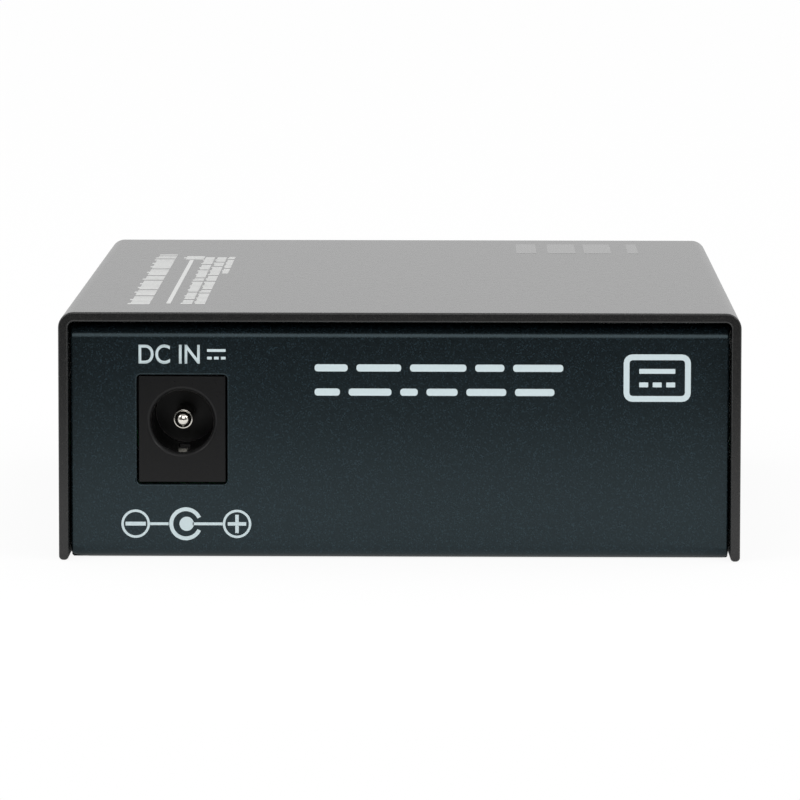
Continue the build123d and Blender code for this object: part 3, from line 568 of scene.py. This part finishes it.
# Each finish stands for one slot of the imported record.
FINISHES: dict[str, Finish] = {
    # Polyester powder baked on steel: a dark, slightly pebbled skin that mirrors at a low angle.
    "cover_paint": FleckedFinish(
        "powder_coated_steel_dark_grey", "#0A0B0B", "#0E0E0E", 0.27, 0.6, 0.0006,
        ior=1.6, gloss_spread=0.02, fleck="#1E1D1B", fleck_size=0.12, fleck_share=0.35,
        fleck_rarity=2.5,
    ),
    # Enamel with metal flakes sprayed on steel: blue-green depth. Its lighter flecks are partly the
    # flakes' own pigment and partly their pin-point sparkle, painted into the base colour as
    # painted glints.
    "chassis_paint": FleckedFinish(
        "flake_enamelled_steel_blue_black", "#05090B", "#080E11", 0.24, 0.6, 0.001,
        ior=1.55, mirror_tint="#CDEAF4", gloss_spread=0.03, fleck="#1D2A31", fleck_size=0.1,
        fleck_share=0.5, fleck_rarity=3.0,
    ),
    # Hot-blackened steel: dark, with a dull metal sheen.
    "black_screw": Finish(
        "blackened_steel", "#2C2B2A", "#3B3937", 0.38, 0.3, 0.003, metallic=1.0
    ),
    # Zinc electroplate on steel: pale, slightly uneven sheen.
    "plated_steel": Finish(
        "zinc_plated_steel", "#B9BABB", "#CFCFCC", 0.32, 0.8, 0.002, metallic=1.0
    ),
    # Rolled polyester film: clear with a faint haze.
    "clear_film": Finish(
        "polyester_film", "#D8D6CC", "#E4E2DA", 0.22, 3.0, 0.001, ior=1.6, transmission=0.7
    ),
    # Solder mask over woven glass laminate: glossy green with a faint weave.
    "board_laminate": FleckedFinish(
        "solder_masked_glass_laminate", "#0E4A26", "#156033", 0.3, 0.7, 0.004,
        fleck="#1F7A43", fleck_size=1.1, fleck_share=0.5,
    ),
    # Glass-filled polyester, injection moulded with a spark-eroded grain: black and satin.
    "black_moulding": Finish(
        "moulded_polyester_black", "#070708", "#0B0B0C", 0.3, 0.18, 0.002, ior=1.36
    ),
    # Bright nickel over brass: a warm mirror.
    "bright_nickel": Finish(
        "nickel_plated_brass", "#D9D5CC", "#E6E3DC", 0.14, 0.4, 0.0006, metallic=1.0,
        gloss_spread=0.03,
    ),
    # Tin plate on bronze strip: soft grey sheen.
    "tinned_contact": Finish(
        "tinned_bronze_strip", "#A9A9A6", "#BDBDB9", 0.3, 0.3, 0.0015, metallic=1.0
    ),
    # Rolled tin-plated brass sheet: fine lines along the rolling direction.
    "tinned_shield": Finish(
        "rolled_tinplate", "#B4B4B1", "#C8C8C4", 0.27, 0.35, 0.002, metallic=1.0,
        weave=Weave.ALONG_Y,
    ),
    # Hard gold over bronze wire: yellow and smooth.
    "gold_contact": Finish(
        "gold_plated_wire", "#D9AE5C", "#E6C077", 0.2, 0.25, 0.0005, metallic=1.0
    ),
    # Liquid-crystal polymer, injection moulded: black with faint flow streaks.
    "optic_moulding": Finish(
        "moulded_polymer_black", "#1D1D1F", "#262628", 0.42, 0.9, 0.003, weave=Weave.ALONG_Y
    ),
    # Nylon, injection moulded in blue: satin with an even grain.
    "switch_moulding": Finish("moulded_nylon_blue", "#1F4C8F", "#2657A0", 0.4, 0.25, 0.003),
    # Nylon, injection moulded in white: satin.
    "lever_moulding": Finish("moulded_nylon_white", "#E6E5E0", "#EFEEEA", 0.38, 0.25, 0.002),
    # Acrylic, injection moulded and polished: clear with a milky depth.
    "clear_guide": Finish(
        "moulded_acrylic_clear", "#E8ECEC", "#F2F4F4", 0.12, 1.2, 0.001, ior=1.49,
        transmission=0.75, gloss_spread=0.04,
    ),
    # Cast resin over a lamp: yellow and milky.
    "lamp_resin": Finish("cast_lamp_resin", "#E9DFA0", "#F2EABB", 0.3, 0.4, 0.001),
    # Sintered ferrite, ground: near-black with a fine grit.
    "ferrite": FleckedFinish(
        "sintered_ferrite", "#28282A", "#323234", 0.5, 0.3, 0.006,
        fleck="#4A4A4C", fleck_size=0.2, fleck_share=0.2,
    ),
    # Polyester tape wound over wire: yellow with soft ridges.
    "yellow_tape": Finish(
        "polyester_tape_yellow", "#D9AE2C", "#E4BE48", 0.3, 0.8, 0.02, weave=Weave.ALONG_X
    ),
    # Drawn aluminium can: pale, with drawing lines along its height.
    "capacitor_can": Finish(
        "drawn_aluminium_can", "#B5B6B8", "#CBCCCD", 0.28, 0.3, 0.002, metallic=1.0,
        weave=Weave.ALONG_Z,
    ),
    # Epoxy, transfer moulded in orange: matt.
    "orange_moulding": Finish("moulded_epoxy_orange", "#B0701F", "#C07E2B", 0.5, 0.3, 0.004),
    # Fired alumina: off-white and chalky.
    "white_ceramic": Finish("fired_alumina", "#DEDCD4", "#E8E6DF", 0.55, 0.3, 0.004),
    # Epoxy, transfer moulded in black: matt with a fine grit.
    "chip_moulding": Finish("moulded_epoxy_black", "#1F1F21", "#29292B", 0.55, 0.2, 0.005),
    # Natural polyetherimide, injection moulded: pale amber grey.
    "clip_moulding": Finish("moulded_polymer_natural", "#A8A391", "#B5B09E", 0.42, 0.5, 0.003),
}

# Pad-printed epoxy ink: pale blue-grey and matt, with a faintly uneven coverage.
PANEL_INK = Finish("pad_printed_ink_pale", "#C3D1D4", "#B9C8CC", 0.55, 0.3, 0.002)

# The same ink on the roof, where it lies thin and looks greyer.
ROOF_INK = Finish("pad_printed_ink_thin", "#D2D3D1", "#C2C3C2", 0.45, 0.3, 0.002, coat=0.2)

# Clear gloss ink on the roof's paint: a faint group that shows only at a low angle.
FAINT_INK = Finish(
    "pad_printed_ink_clear", "#1C1D1D", "#222221", 0.27, 0.6, 0.0006,
    ior=1.6, gloss_spread=0.02, coat=0.14, coat_roughness=0.1,
)

# Lens glass at the bore's floor, coloured near black as painted shade of the deep bore.
LENS_PAINTED_SHADE = Finish("lens_glass_painted_shade", "#07070C", "#0B0B12", 0.12, 0.5, 0.001)


class Palette:
    """The materials of the object, each made once."""

    def __init__(self) -> None:
        """Start with no materials."""
        self.made: dict[str, Material] = {}

    def get(self, finish: Finish) -> Material:
        """Give a finish's material, and make it at the first call.

        Args:
            finish: The finish.

        Returns:
            Its material.
        """
        if finish.name not in self.made:
            self.made[finish.name] = finish.build()
        return self.made[finish.name]

    def dress(self, piece: Piece, finish: Finish) -> None:
        """Give a piece one finish all over.

        Args:
            piece: The piece.
            finish: The finish.
        """
        piece.data.materials.clear()
        piece.data.materials.append(self.get(finish))

    def dress_nodes(self) -> None:
        """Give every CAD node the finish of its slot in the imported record."""
        for name, node in frame["nodes"].items():
            for holder in node.material_slots:
                holder.material = self.get(FINISHES[SLOTS[name]])


PALETTE = Palette()


def carried(piece: Piece, finish: Finish, body: str = CASE) -> None:
    """Dress a finished piece and let it ride on its body.

    Args:
        piece: The finished piece.
        finish: Its finish.
        body: The CAD body that carries it.
    """
    PALETTE.dress(piece, finish)
    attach(piece, body)
    LOG.info("%s: %d faces", piece.name, len(piece.data.polygons))


def kept(piece: Piece, node: str, body: str = CASE) -> None:
    """Let a finished piece stand for its CAD node, with the finish of the node's slot.

    Args:
        piece: The finished piece.
        node: The CAD node that it stands for.
        body: The CAD body that carries it.
    """
    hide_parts(node)
    carried(piece, FINISHES[SLOTS[node]], body)


def printed(piece: Piece, ink: Finish, turn: Point, place: Point) -> None:
    """Give a flat drawing the thickness of ink, set it on its surface and dress it.

    Args:
        piece: A flat mesh that faces up at the origin.
        ink: The ink's finish.
        turn: Turns about X, Y and Z, in degrees.
        place: Where the drawing's origin goes, in millimetres.
    """
    with_modifier(piece, "SOLIDIFY", thickness=INK_THICKNESS * MM, offset=1.0)
    settled(piece, turn, place)
    carried(piece, ink)


def eased_node(
    node: str,
    name: str,
    ease: float,
    steps: int,
    body: str = CASE,
    sharp_box: Box | None = None,
) -> Piece:
    """Make a piece from a copy of a CAD node, with eased edges, and let it stand for the node.

    Args:
        node: The CAD node.
        name: The new piece's name.
        ease: Width of the rounding, in millimetres.
        steps: Number of faces across the rounding.
        body: The CAD body that carries it.
        sharp_box: A box whose edges stay sharp.

    Returns:
        The new piece.
    """
    piece = bpy.data.objects.new(name, frame["nodes"][node].data.copy())
    piece.data.name = name
    bpy.context.scene.collection.objects.link(piece)
    select_only(piece)
    edit_all()
    bpy.ops.mesh.remove_doubles(threshold=WELD)
    bpy.ops.mesh.dissolve_limited(angle_limit=FLAT_ANGLE)
    bpy.ops.object.mode_set(mode="OBJECT")
    eased_edges(piece, ease, steps, sharp_box)
    kept(piece, node, body)
    return piece


# ---------------------------------------------------------------- sub-assemblies


@dataclass
class TopCover:
    """The folded cover with its screws and the print on its roof. Sizes in millimetres."""

    ease: float = 0.18
    ease_steps: int = 3
    screw_sides: int = 48
    screw_profile: tuple[Station, ...] = (
        (-5.0, 1.15), (-4.7, 1.45), (-1.0, 1.45), (-0.15, 2.45), (-0.05, 2.44), (0.0, 2.34),
    )
    recess: Point = (3.0, 0.5, 1.6)
    recess_taper: float = 0.35
    block_pitch: float = 1.55
    block_width: float = 1.25
    block_round: float = 0.12
    short_share: float = 0.12
    tall_every: int = 3
    group_sizes: tuple[int, ...] = (6, 4, 7, 3, 5, 8, 2)
    group_gap: float = 0.7
    # Start, end, low edge, high edge and place in the rhythm of each row of blocks.
    block_rows: tuple[tuple[float, float, float, float, int], ...] = (
        (-37.8, 26.5, -28.4, -26.1, 0),
        (18.6, 24.0, -25.2, -22.9, 2),
        (-37.4, 23.0, -22.9, -21.7, 3),
        (-37.4, 23.0, -21.55, -20.35, 5),
        (0.0, 23.0, -20.2, -19.4, 1),
    )
    rule: Bar = (-24.4, -37.0, -23.95, 17.8)
    faint_columns: tuple[Station, ...] = ((12.6, 14.9), (16.2, 19.4), (20.4, 23.5), (25.4, 26.6))
    faint_span: Station = (28.0, 41.0)
    print_rise: float = 0.01

    def build(self) -> None:
        """Make the cover, the screws and the print."""
        eased_node("top_cover", "folded_cover", self.ease, self.ease_steps)
        self.add_screws()
        self.add_roof_print()

    def screw(self, name: str) -> Piece:
        """Turn one countersunk screw along Z, with a cross recess.

        Args:
            name: The piece's name.

        Returns:
            The screw, with its head's top at the origin.
        """
        piece = turned(name, list(self.screw_profile), self.screw_sides)
        for turn in (0, 90):
            select_only(piece)
            bpy.ops.mesh.primitive_cube_add(size=1)
            cutter = started(name + "_cutter")
            cutter.scale = Vector(self.recess) * MM
            cutter.rotation_euler[2] = math.radians(turn)
            bpy.ops.object.transform_apply()
            bpy.ops.object.mode_set(mode="EDIT")
            bpy.ops.mesh.select_all(action="DESELECT")
            bpy.ops.object.mode_set(mode="OBJECT")
            for vertex in cutter.data.vertices:
                vertex.select = vertex.co.z < 0
            bpy.ops.object.mode_set(mode="EDIT")
            bpy.ops.transform.resize(
                value=(self.recess_taper, self.recess_taper, 1), center_override=(0, 0, 0)
            )
            bpy.ops.object.mode_set(mode="OBJECT")
            with_modifier(piece, "BOOLEAN", object=cutter, operation="DIFFERENCE", solver="EXACT")
            bpy.data.objects.remove(cutter)
        select_only(piece)
        bpy.ops.object.shade_smooth_by_angle(angle=CREASE_ANGLE)
        return piece

    def add_screws(self) -> None:
        """Put one screw in each side wall."""
        low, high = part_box("cover_screws")
        height = (low.z + high.z) / 2 / MM
        for name, side, end in (("left", -1, low.x), ("right", 1, high.x)):
            piece = self.screw(f"cover_screw_{name}")
            settled(piece, (0, 90 * side, 0), (end / MM, 0, height))
            kept(piece, "cover_screws")

    def block_row(self, start: float, end: float, low: float, high: float, step: int) -> list[Bar]:
        """Lay out blocks in the rhythm of small print, with a gap after each group.

        Args:
            start: Where the row starts on Y.
            end: Where it ends.
            low: The row's edge on X that the short blocks keep clear of.
            high: The row's other edge on X.
            step: Which group size the row starts with.

        Returns:
            The blocks.
        """
        bars = []
        place = start
        group = step
        while place < end:
            for i in range(self.group_sizes[group % len(self.group_sizes)]):
                if place + self.block_width > end:
                    break
                tall = (i + group) % self.tall_every == 0
                edge = low if tall else low + self.short_share * (high - low)
                bars.append((edge, place, high, place + self.block_width))
                place += self.block_pitch
            place += self.block_pitch * self.group_gap
            group += 1
        return bars

    def add_roof_print(self) -> None:
        """Print blocks and a rule along the roof's left, and a faint group at its far right."""
        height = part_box("top_cover")[1].z / MM + self.print_rise - INK_THICKNESS
        bars = [bar for row in self.block_rows for bar in self.block_row(*row)] + [self.rule]
        near, far = self.faint_span
        faint = [(left, near, right, far) for left, right in self.faint_columns]
        for name, group, ink in (("roof_print", bars, ROOF_INK), ("roof_faint", faint, FAINT_INK)):
            piece = new_drawing(name)
            add_bars(group, self.block_round)
            printed(piece, ink, (0, 0, 0), (0, 0, height))


@dataclass
class Chassis:
    """The folded base with its end panels and the print on the power end. Sizes in millimetres."""

    ease: float = 0.2
    ease_steps: int = 3
    standoff_ease: float = 0.1
    standoff_ease_steps: int = 2
    corner_steps: Box = ((-40.0, -43.6, -0.1), (40.0, -43.4, 0.5))
    bend_start: float = 22.0
    bend_raise: float = 0.6
    heading: Bar = (-26.85, 20.1, -20.55, 22.1)
    # Left and right end, middle and line of a direct-current sign, and its corners.
    heading_sign: Bar = (-19.8, -17.9, 21.1, 0.28)
    heading_sign_round: float = 0.04
    # Half of that sign's gap, in lines, its dashes, and a dash's share of the width and pitch.
    line_gap: float = 0.9
    dashes: int = 3
    dash_share: float = 0.25
    dash_pitch: float = 1.5
    polarity_height: float = 3.54
    # Middle on X, outer radius, line and half of the open angle of each ring.
    rings: tuple[tuple[float, float, float, float], ...] = (
        (-27.2, 1.47, 0.25, 0.0), (-22.02, 1.71, 0.4, 27.5), (-16.75, 1.47, 0.25, 0.0),
    )
    # The minus, the plus in three parts and the two leads, from the sign's height.
    strokes: tuple[Bar, ...] = (
        (-28.25, -0.2, -26.15, 0.2),
        (-17.7, -0.18, -15.8, 0.18),
        (-16.93, 0.17, -16.57, 0.95),
        (-16.93, -0.95, -16.57, -0.17),
        (-25.71, -0.145, -23.81, 0.145),
        (-21.32, -0.145, -18.24, 0.145),
    )
    dot_x: float = -21.94
    dot_radius: float = 0.74
    dot_sides: int = 40
    notice_left: float = -8.75
    notice_gap: float = 0.9
    notice_round: float = 0.3
    # Bottom and top of each row, and the lengths of its bars.
    notice_rows: tuple[tuple[float, float, tuple[float, ...]], ...] = (
        (19.36, 20.1, (3.4, 4.6, 5.8, 3.0, 5.15)),
        (16.86, 17.6, (2.6, 4.4, 1.8, 3.2, 4.1, 4.05)),
    )
    mark: Bar = (23.0, 16.3, 29.9, 21.2)
    mark_line: float = 0.6
    mark_round: float = 0.9
    mark_sign: Bar = (24.6, 28.3, 18.75, 0.5)
    mark_sign_round: float = 0.06

    def build(self) -> None:
        """Make the base and its print."""
        base = eased_node(
            "base_chassis", "folded_base", self.ease, self.ease_steps,
            sharp_box=self.corner_steps,
        )
        self.raise_top_bends(base)
        eased_node(
            "board_standoffs", "pressed_standoffs", self.standoff_ease, self.standoff_ease_steps
        )
        self.add_heading()
        self.add_polarity()
        self.add_notice()
        self.add_mark()

    def raise_top_bends(self, base: Piece) -> None:
        """Lift both panels' top bends and flanges to the height that the photograph shows.

        Args:
            base: The folded base.
        """
        for vertex in base.data.vertices:
            if vertex.co.z > self.bend_start * MM:
                vertex.co.z += self.bend_raise * MM

    def on_panel(self, piece: Piece) -> None:
        """Print a flat drawing on the power end's panel.

        Args:
            piece: The drawing, with X across and Y up.
        """
        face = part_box("base_chassis")[0].y / MM
        printed(piece, PANEL_INK, (90, 0, 0), (0, face + INK_SINK, 0))

    def direct_current(self, left: float, right: float, middle: float, line: float) -> list[Bar]:
        """Lay out the direct-current sign, a solid line over three dashes.

        Args:
            left: Left end.
            right: Right end.
            middle: Height of its middle.
            line: Thickness of the lines.

        Returns:
            The bars.
        """
        dash = (right - left) * self.dash_share
        near, far = self.line_gap * line, (self.line_gap + 1) * line
        bars = [(left, middle + near, right, middle + far)]
        for i in range(self.dashes):
            start = left + i * self.dash_pitch * dash
            bars.append((start, middle - far, start + dash, middle - near))
        return bars

    def add_heading(self) -> None:
        """Print the words over the inlet, with the direct-current sign."""
        self.on_panel(lettering("inlet_heading", "DC IN", self.heading))
        sign = new_drawing("inlet_current_sign")
        add_bars(self.direct_current(*self.heading_sign), self.heading_sign_round)
        self.on_panel(sign)

    def add_polarity(self) -> None:
        """Print the polarity sign under the inlet: minus ring, plug with its pin, plus ring."""
        z = self.polarity_height
        sign = new_drawing("polarity_sign")
        for x, outer, stroke, gap in self.rings:
            add_ring((x, z), outer, stroke, gap)
        bars = [(left, z + low, right, z + high) for left, low, right, high in self.strokes]
        add_bars(bars, 0.0)
        bpy.ops.mesh.select_all(action="DESELECT")
        bpy.ops.mesh.primitive_circle_add(
            vertices=self.dot_sides, radius=self.dot_radius * MM, fill_type="NGON",
            location=(self.dot_x * MM, z * MM, 0),
        )
        self.on_panel(sign)

    def add_notice(self) -> None:
        """Print two rows of plain word-length bars at the panel's middle."""
        bars = []
        for low, high, lengths in self.notice_rows:
            place = self.notice_left
            for length in lengths:
                bars.append((place, low, place + length, high))
                place += length + self.notice_gap
        sign = new_drawing("notice_bars")
        add_bars(bars, self.notice_round)
        self.on_panel(sign)

    def add_mark(self) -> None:
        """Print a framed direct-current sign at the panel's right."""
        sign = new_drawing("framed_current_sign")
        add_bars([self.mark], self.mark_round)
        bpy.ops.mesh.inset(thickness=self.mark_line * MM)
        bpy.ops.mesh.delete(type="FACE")
        add_bars(self.direct_current(*self.mark_sign), self.mark_sign_round)
        self.on_panel(sign)


@dataclass
class PowerInlet:
    """The inlet's moulding, centre pin and spring. Sizes in millimetres."""

    body_ease: float = 0.1
    spring_ease: float = 0.05
    ease_steps: int = 2
    # Distance from the root's end and radius, up to the shaft.
    root: tuple[Station, ...] = ((0.0, 0.6), (2.4, 0.6), (2.4, 0.98), (2.45, 1.0))
    pin_radius: float = 1.0
    nose_length: float = 0.95
    nose_radius: float = 0.86
    rim_round: float = 0.07
    rim_steps: int = 4
    step_slope: float = 0.001
    dome_height: float = 0.7
    dome_steps: int = 10
    dome_sweep: float = 87.0
    sides: int = 56

    def build(self) -> None:
        """Make the moulding, the pin and the spring."""
        eased_node("power_jack_body", "inlet_moulding", self.body_ease, self.ease_steps)
        eased_node("power_jack_spring", "inlet_spring", self.spring_ease, self.ease_steps)
        self.add_pin()

    def add_pin(self) -> None:
        """Turn the centre pin: root, shaft, flat shoulder with a rounded rim, and domed nose."""
        low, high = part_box("power_jack_pin")
        length = (high.y - low.y) / MM
        r, n, rim, dome = self.pin_radius, self.nose_radius, self.rim_round, self.dome_height
        shoulder = length - self.nose_length
        stations = [*self.root, (shoulder, r)]
        for i in range(1, self.rim_steps + 1):
            angle = math.radians(90 * i / self.rim_steps)
            stations.append((shoulder + rim * math.sin(angle), r - rim + rim * math.cos(angle)))
        stations += [(shoulder + rim + self.step_slope, n), (length - dome, n)]
        for i in range(1, self.dome_steps + 1):
            angle = math.radians(self.dome_sweep * i / self.dome_steps)
            stations.append((length - dome + dome * math.sin(angle), n * math.cos(angle)))
        pin = turned("inlet_pin", stations, self.sides)
        middle = centre_of("power_jack_pin")
        settled(pin, (90, 0, 0), (middle.x, high.y / MM, middle.z))
        kept(pin, "power_jack_pin")


@dataclass
class PortEnd:
    """The ports, lights and switch at the other end. Sizes in millimetres."""

    # CAD node, new piece, width of the rounding and number of faces across it.
    eased: tuple[tuple[str, str, float, int], ...] = (
        ("network_port_shield", "network_shield", 0.03, 1),
        ("network_port_body", "network_insert", 0.12, 2),
        ("network_port_wires", "network_contacts", 0.06, 2),
        ("optic_body", "fibre_port_moulding", 0.15, 2),
        ("transmit_clip", "transmit_port_clip", 0.1, 2),
        ("receive_clip", "receive_port_clip", 0.1, 2),
        ("switch_case", "switch_front", 0.08, 2),
        ("light_guide", "clear_light_guide", 0.1, 2),
    )
    levers: int = 4
    lever_ease: float = 0.08
    lever_ease_steps: int = 2
    # Height and radius at the barrel's foot, and distance behind the mouth and radius at its rim.
    barrel_foot: tuple[Station, ...] = ((0.0, 2.25), (0.05, 2.3))
    barrel_rim: tuple[Station, ...] = (
        (0.3, 2.3), (0.08, 2.12), (0.0, 2.0), (0.0, 1.57), (0.06, 1.47), (0.3, 1.25),
    )
    bore_floor: float = 0.3
    bore_radius: float = 1.25
    lens_overlap: float = 0.02
    lens_depth: float = 0.4
    sides: int = 48
    numeral_height: float = 0.85
    numeral_width: float = 0.55
    numeral_rise: float = 0.3
    thin_share: float = 0.45
    arrow_low: float = 20.0
    arrow_high: float = 21.3
    arrow_half: float = 0.75
    arrow_tip_share: float = 0.05

    def build(self) -> None:
        """Make the ports, the switch and their print."""
        for row in self.eased:
            eased_node(*row)
        for i in range(1, self.levers + 1):
            name = f"switch_lever_{i}"
            eased_node(
                name, f"sliding_lever_{i}", self.lever_ease, self.lever_ease_steps, body=name
            )
        for name in ("transmit_barrel", "receive_barrel"):
            self.add_barrel(name)
        self.add_numerals()
        self.add_arrows()

    def add_barrel(self, node: str) -> None:
        """Turn a fibre port's barrel, with a chamfered mouth and a lens deep in its bore, coloured
        near black as painted shade.

        Args:
            node: The CAD node of the barrel.
        """
        low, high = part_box(node)
        length = (high.y - low.y) / MM
        rim = [(length - back, radius) for back, radius in self.barrel_rim]
        stations = [*self.barrel_foot, *rim, (self.bore_floor, self.bore_radius)]
        barrel = turned(node.replace("_", "_port_"), stations, self.sides)
        middle = centre_of(node)
        settled(barrel, (-90, 0, 0), (middle.x, low.y / MM, middle.z))
        kept(barrel, node)
        # The lens is a real part, but its near-black colour is painted shade deep in the bore.
        bpy.ops.mesh.primitive_cylinder_add(
            vertices=self.sides, radius=(self.bore_radius + self.lens_overlap) * MM,
            depth=self.lens_depth * MM,
        )
        lens = started(node.split("_")[0] + "_port_lens_painted_shade")
        depth = low.y / MM + self.bore_floor + self.lens_depth / 2
        settled(lens, (90, 0, 0), (middle.x, depth, middle.z))
        carried(lens, LENS_PAINTED_SHADE)

    def on_port_end(self, piece: Piece, face: float) -> None:
        """Print a flat drawing on a face at the port end, where X runs to the left.

        Args:
            piece: The drawing, with its left at the highest X.
            face: The face's place on Y.
        """
        printed(piece, PANEL_INK, (90, 0, 180), (0, face - INK_SINK, 0))

    def add_numerals(self) -> None:
        """Print a number under each lever of the switch."""
        low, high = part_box("switch_case")
        for i in range(1, self.levers + 1):
            middle = -centre_of(f"switch_lever_{i}").x
            bottom = low.z / MM + self.numeral_rise
            number = str(self.levers + 1 - i)
            half = self.numeral_width / 2 * (self.thin_share if number == "1" else 1.0)
            box = (middle - half, bottom, middle + half, bottom + self.numeral_height)
            self.on_port_end(lettering(f"switch_number_{i}", number, box), high.y / MM)

    def add_arrows(self) -> None:
        """Print an outward and an inward arrow over the fibre ports."""
        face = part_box("base_chassis")[1].y / MM
        half = self.arrow_half
        for node, tip in (("transmit_barrel", self.arrow_high), ("receive_barrel", self.arrow_low)):
            middle = -centre_of(node).x
            arrow = new_drawing(node.split("_")[0] + "_arrow")
            add_bars([(middle - half, self.arrow_low, middle + half, self.arrow_high)], 0.0)
            bpy.ops.mesh.select_mode(type="VERT")
            bpy.ops.mesh.select_all(action="DESELECT")
            mesh = bpy.context.object.data
            bpy.ops.object.mode_set(mode="OBJECT")
            for vertex in mesh.vertices:
                vertex.select = abs(vertex.co.y / MM - tip) < half
            bpy.ops.object.mode_set(mode="EDIT")
            bpy.ops.transform.resize(
                value=(self.arrow_tip_share, 1, 1),
                center_override=(middle * MM, tip * MM, 0),
            )
            self.on_port_end(arrow, face)


@dataclass
class Studio:
    """The camera, the lamps, the floor and the pale surround. Sizes in millimetres and degrees."""

    eye: Point = (6.44, -657.1, 81.56)
    yaw: float = 0.6
    pitch: float = 6.074
    roll: float = 0.08
    focal_length: float = 269.46
    sensor: float = 36.0
    nearest: float = 10.0
    farthest: float = 100000.0
    paper: str = "#FCFCFC"
    floor_front: float = -150.0
    floor_back: float = 3000.0
    floor_drop: float = 0.05
    floor_glow: float = 0.9
    floor_mirror_glow: float = 0.3
    ambient: float = 0.92
    front_gloss: float = 0.06
    front_fade: Station = (-0.95, -0.3)
    # Name, place, aim, size and power in watts of each lamp.
    lamps: tuple[tuple[str, Point, Point, float, float], ...] = (
        ("softbox_left", (-520, -520, 480), (0, -40, 10), 260, 0.7),
        ("softbox_right", (520, -520, 480), (0, -40, 10), 260, 0.8),
        ("softbox_front", (60, -900, 420), (0, -45, 12), 500, 1.5),
    )

    def build(self) -> None:
        """Set up everything round the object."""
        self.add_camera()
        self.add_surround()
        self.add_floor()
        for lamp in self.lamps:
            self.add_lamp(*lamp)
        bpy.context.scene.view_settings.view_transform = "Standard"

    def add_camera(self) -> None:
        """Put the camera where the photograph was taken from."""
        yaw, pitch, roll = (math.radians(a) for a in (self.yaw, self.pitch, self.roll))
        ahead = Vector((
            -math.sin(yaw) * math.cos(pitch), math.cos(yaw) * math.cos(pitch), -math.sin(pitch)
        ))
        level = Vector((math.cos(yaw), math.sin(yaw), 0))
        upright = level.cross(ahead)
        right = level * math.cos(roll) + upright * math.sin(roll)
        up = upright * math.cos(roll) - level * math.sin(roll)
        data = bpy.data.cameras.new("camera")
        data.lens = self.focal_length
        data.sensor_width = self.sensor
        data.clip_start = self.nearest * MM
        data.clip_end = self.farthest * MM
        camera = bpy.data.objects.new("camera", data)
        bpy.context.scene.collection.objects.link(camera)
        turn = Matrix((right, up, -ahead)).transposed().to_4x4()
        camera.matrix_world = Matrix.Translation(Vector(self.eye) * MM) @ turn
        bpy.context.scene.camera = camera

    def add_surround(self) -> None:
        """Make the world white to the camera, behind the object and through glass.

        Mirrors see a dim room in front, and everything else a plain soft light.
        """
        world = bpy.data.worlds.new("surround")
        emptied(world)
        path = add_node(world, "LightPath")
        direction = add_node(world, "TexCoord")
        parts = add_node(world, "SeparateXYZ", {"Vector": direction.outputs["Generated"]})
        mirrored = add_node(
            world, "MapRange", {"Value": parts.outputs["Y"]},
            {"interpolation_type": "SMOOTHSTEP"}, From_Min=self.front_fade[0],
            From_Max=self.front_fade[1], To_Min=self.front_gloss, To_Max=1.0,
        )
        unseen = add_node(
            world, "MapRange",
            {"Value": path.outputs["Is Glossy Ray"], "To Max": mirrored.outputs["Result"]},
            To_Min=self.ambient,
        )
        strength = add_node(
            world, "MapRange",
            {"Value": looked_at(world, path), "To Min": unseen.outputs["Result"]}, To_Max=1.0,
        )
        light = add_node(
            world, "Background", {"Strength": strength.outputs["Result"]},
            Color=(1, 1, 1, 1),
        )
        add_node(world, "OutputWorld", {"Surface": light.outputs["Background"]})
        bpy.context.scene.world = world

    def add_floor(self) -> None:
        """Lay a wide pale floor that is white to the camera but keeps the object's shadow.

        It is clear from below, so that a view from there shows the object.
        """
        ready()
        depth = (self.floor_back - self.floor_front) * MM
        middle = (self.floor_back + self.floor_front) / 2 * MM
        bpy.ops.mesh.primitive_plane_add(size=depth, location=(0, middle, -self.floor_drop * MM))
        floor = started("studio_floor")
        material = bpy.data.materials.new("white_paper_sweep")
        emptied(material)
        paper = add_node(material, "BsdfDiffuse", Color=linear(self.paper))
        glow = add_node(material, "Emission", Color=(1, 1, 1, 1), Strength=1.0)
        path = add_node(material, "LightPath")
        direct = add_node(
            material, "MapRange", {"Value": looked_at(material, path)},
            To_Min=0.0, To_Max=self.floor_glow,
        )
        mirrored = add_node(
            material, "MapRange", {"Value": path.outputs["Is Glossy Ray"]},
            To_Min=0.0, To_Max=self.floor_mirror_glow,
        )
        share = add_node(
            material, "Math",
            {0: direct.outputs["Result"], 1: mirrored.outputs["Result"]},
            {"operation": "MAXIMUM"},
        )
        mixed = add_node(
            material, "MixShader",
            {0: share.outputs["Value"], 1: paper.outputs["BSDF"], 2: glow.outputs["Emission"]},
        )
        clear = add_node(material, "BsdfTransparent")
        side = add_node(material, "NewGeometry")
        one_sided = add_node(
            material, "MixShader",
            {0: side.outputs["Backfacing"], 1: mixed.outputs["Shader"], 2: clear.outputs["BSDF"]},
        )
        add_node(material, "OutputMaterial", {"Surface": one_sided.outputs["Shader"]})
        floor.data.materials.append(material)

    def add_lamp(self, name: str, place: Point, aim: Point, size: float, power: float) -> None:
        """Hang one soft square lamp.

        Args:
            name: The lamp's name.
            place: Where it hangs.
            aim: The point that it faces.
            size: The length of its side.
            power: Its power in watts.
        """
        data = bpy.data.lights.new(name, "AREA")
        data.shape = "SQUARE"
        data.size = size * MM
        data.energy = power
        lamp = bpy.data.objects.new(name, data)
        bpy.context.scene.collection.objects.link(lamp)
        lamp.location = Vector(place) * MM
        toward = (Vector(aim) - Vector(place)).normalized()
        lamp.rotation_euler = toward.to_track_quat("-Z", "Y").to_euler()


def main() -> None:
    """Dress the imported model, add the finer pieces and light the scene."""
    logging.basicConfig(level=logging.INFO, format="%(name)s: %(message)s")
    bpy.context.view_layer.update()
    PALETTE.dress_nodes()
    for assembly in (TopCover(), Chassis(), PowerInlet(), PortEnd(), Studio()):
        LOG.info("building %s", type(assembly).__name__)
        assembly.build()


if __name__ == "__main__":
    main()
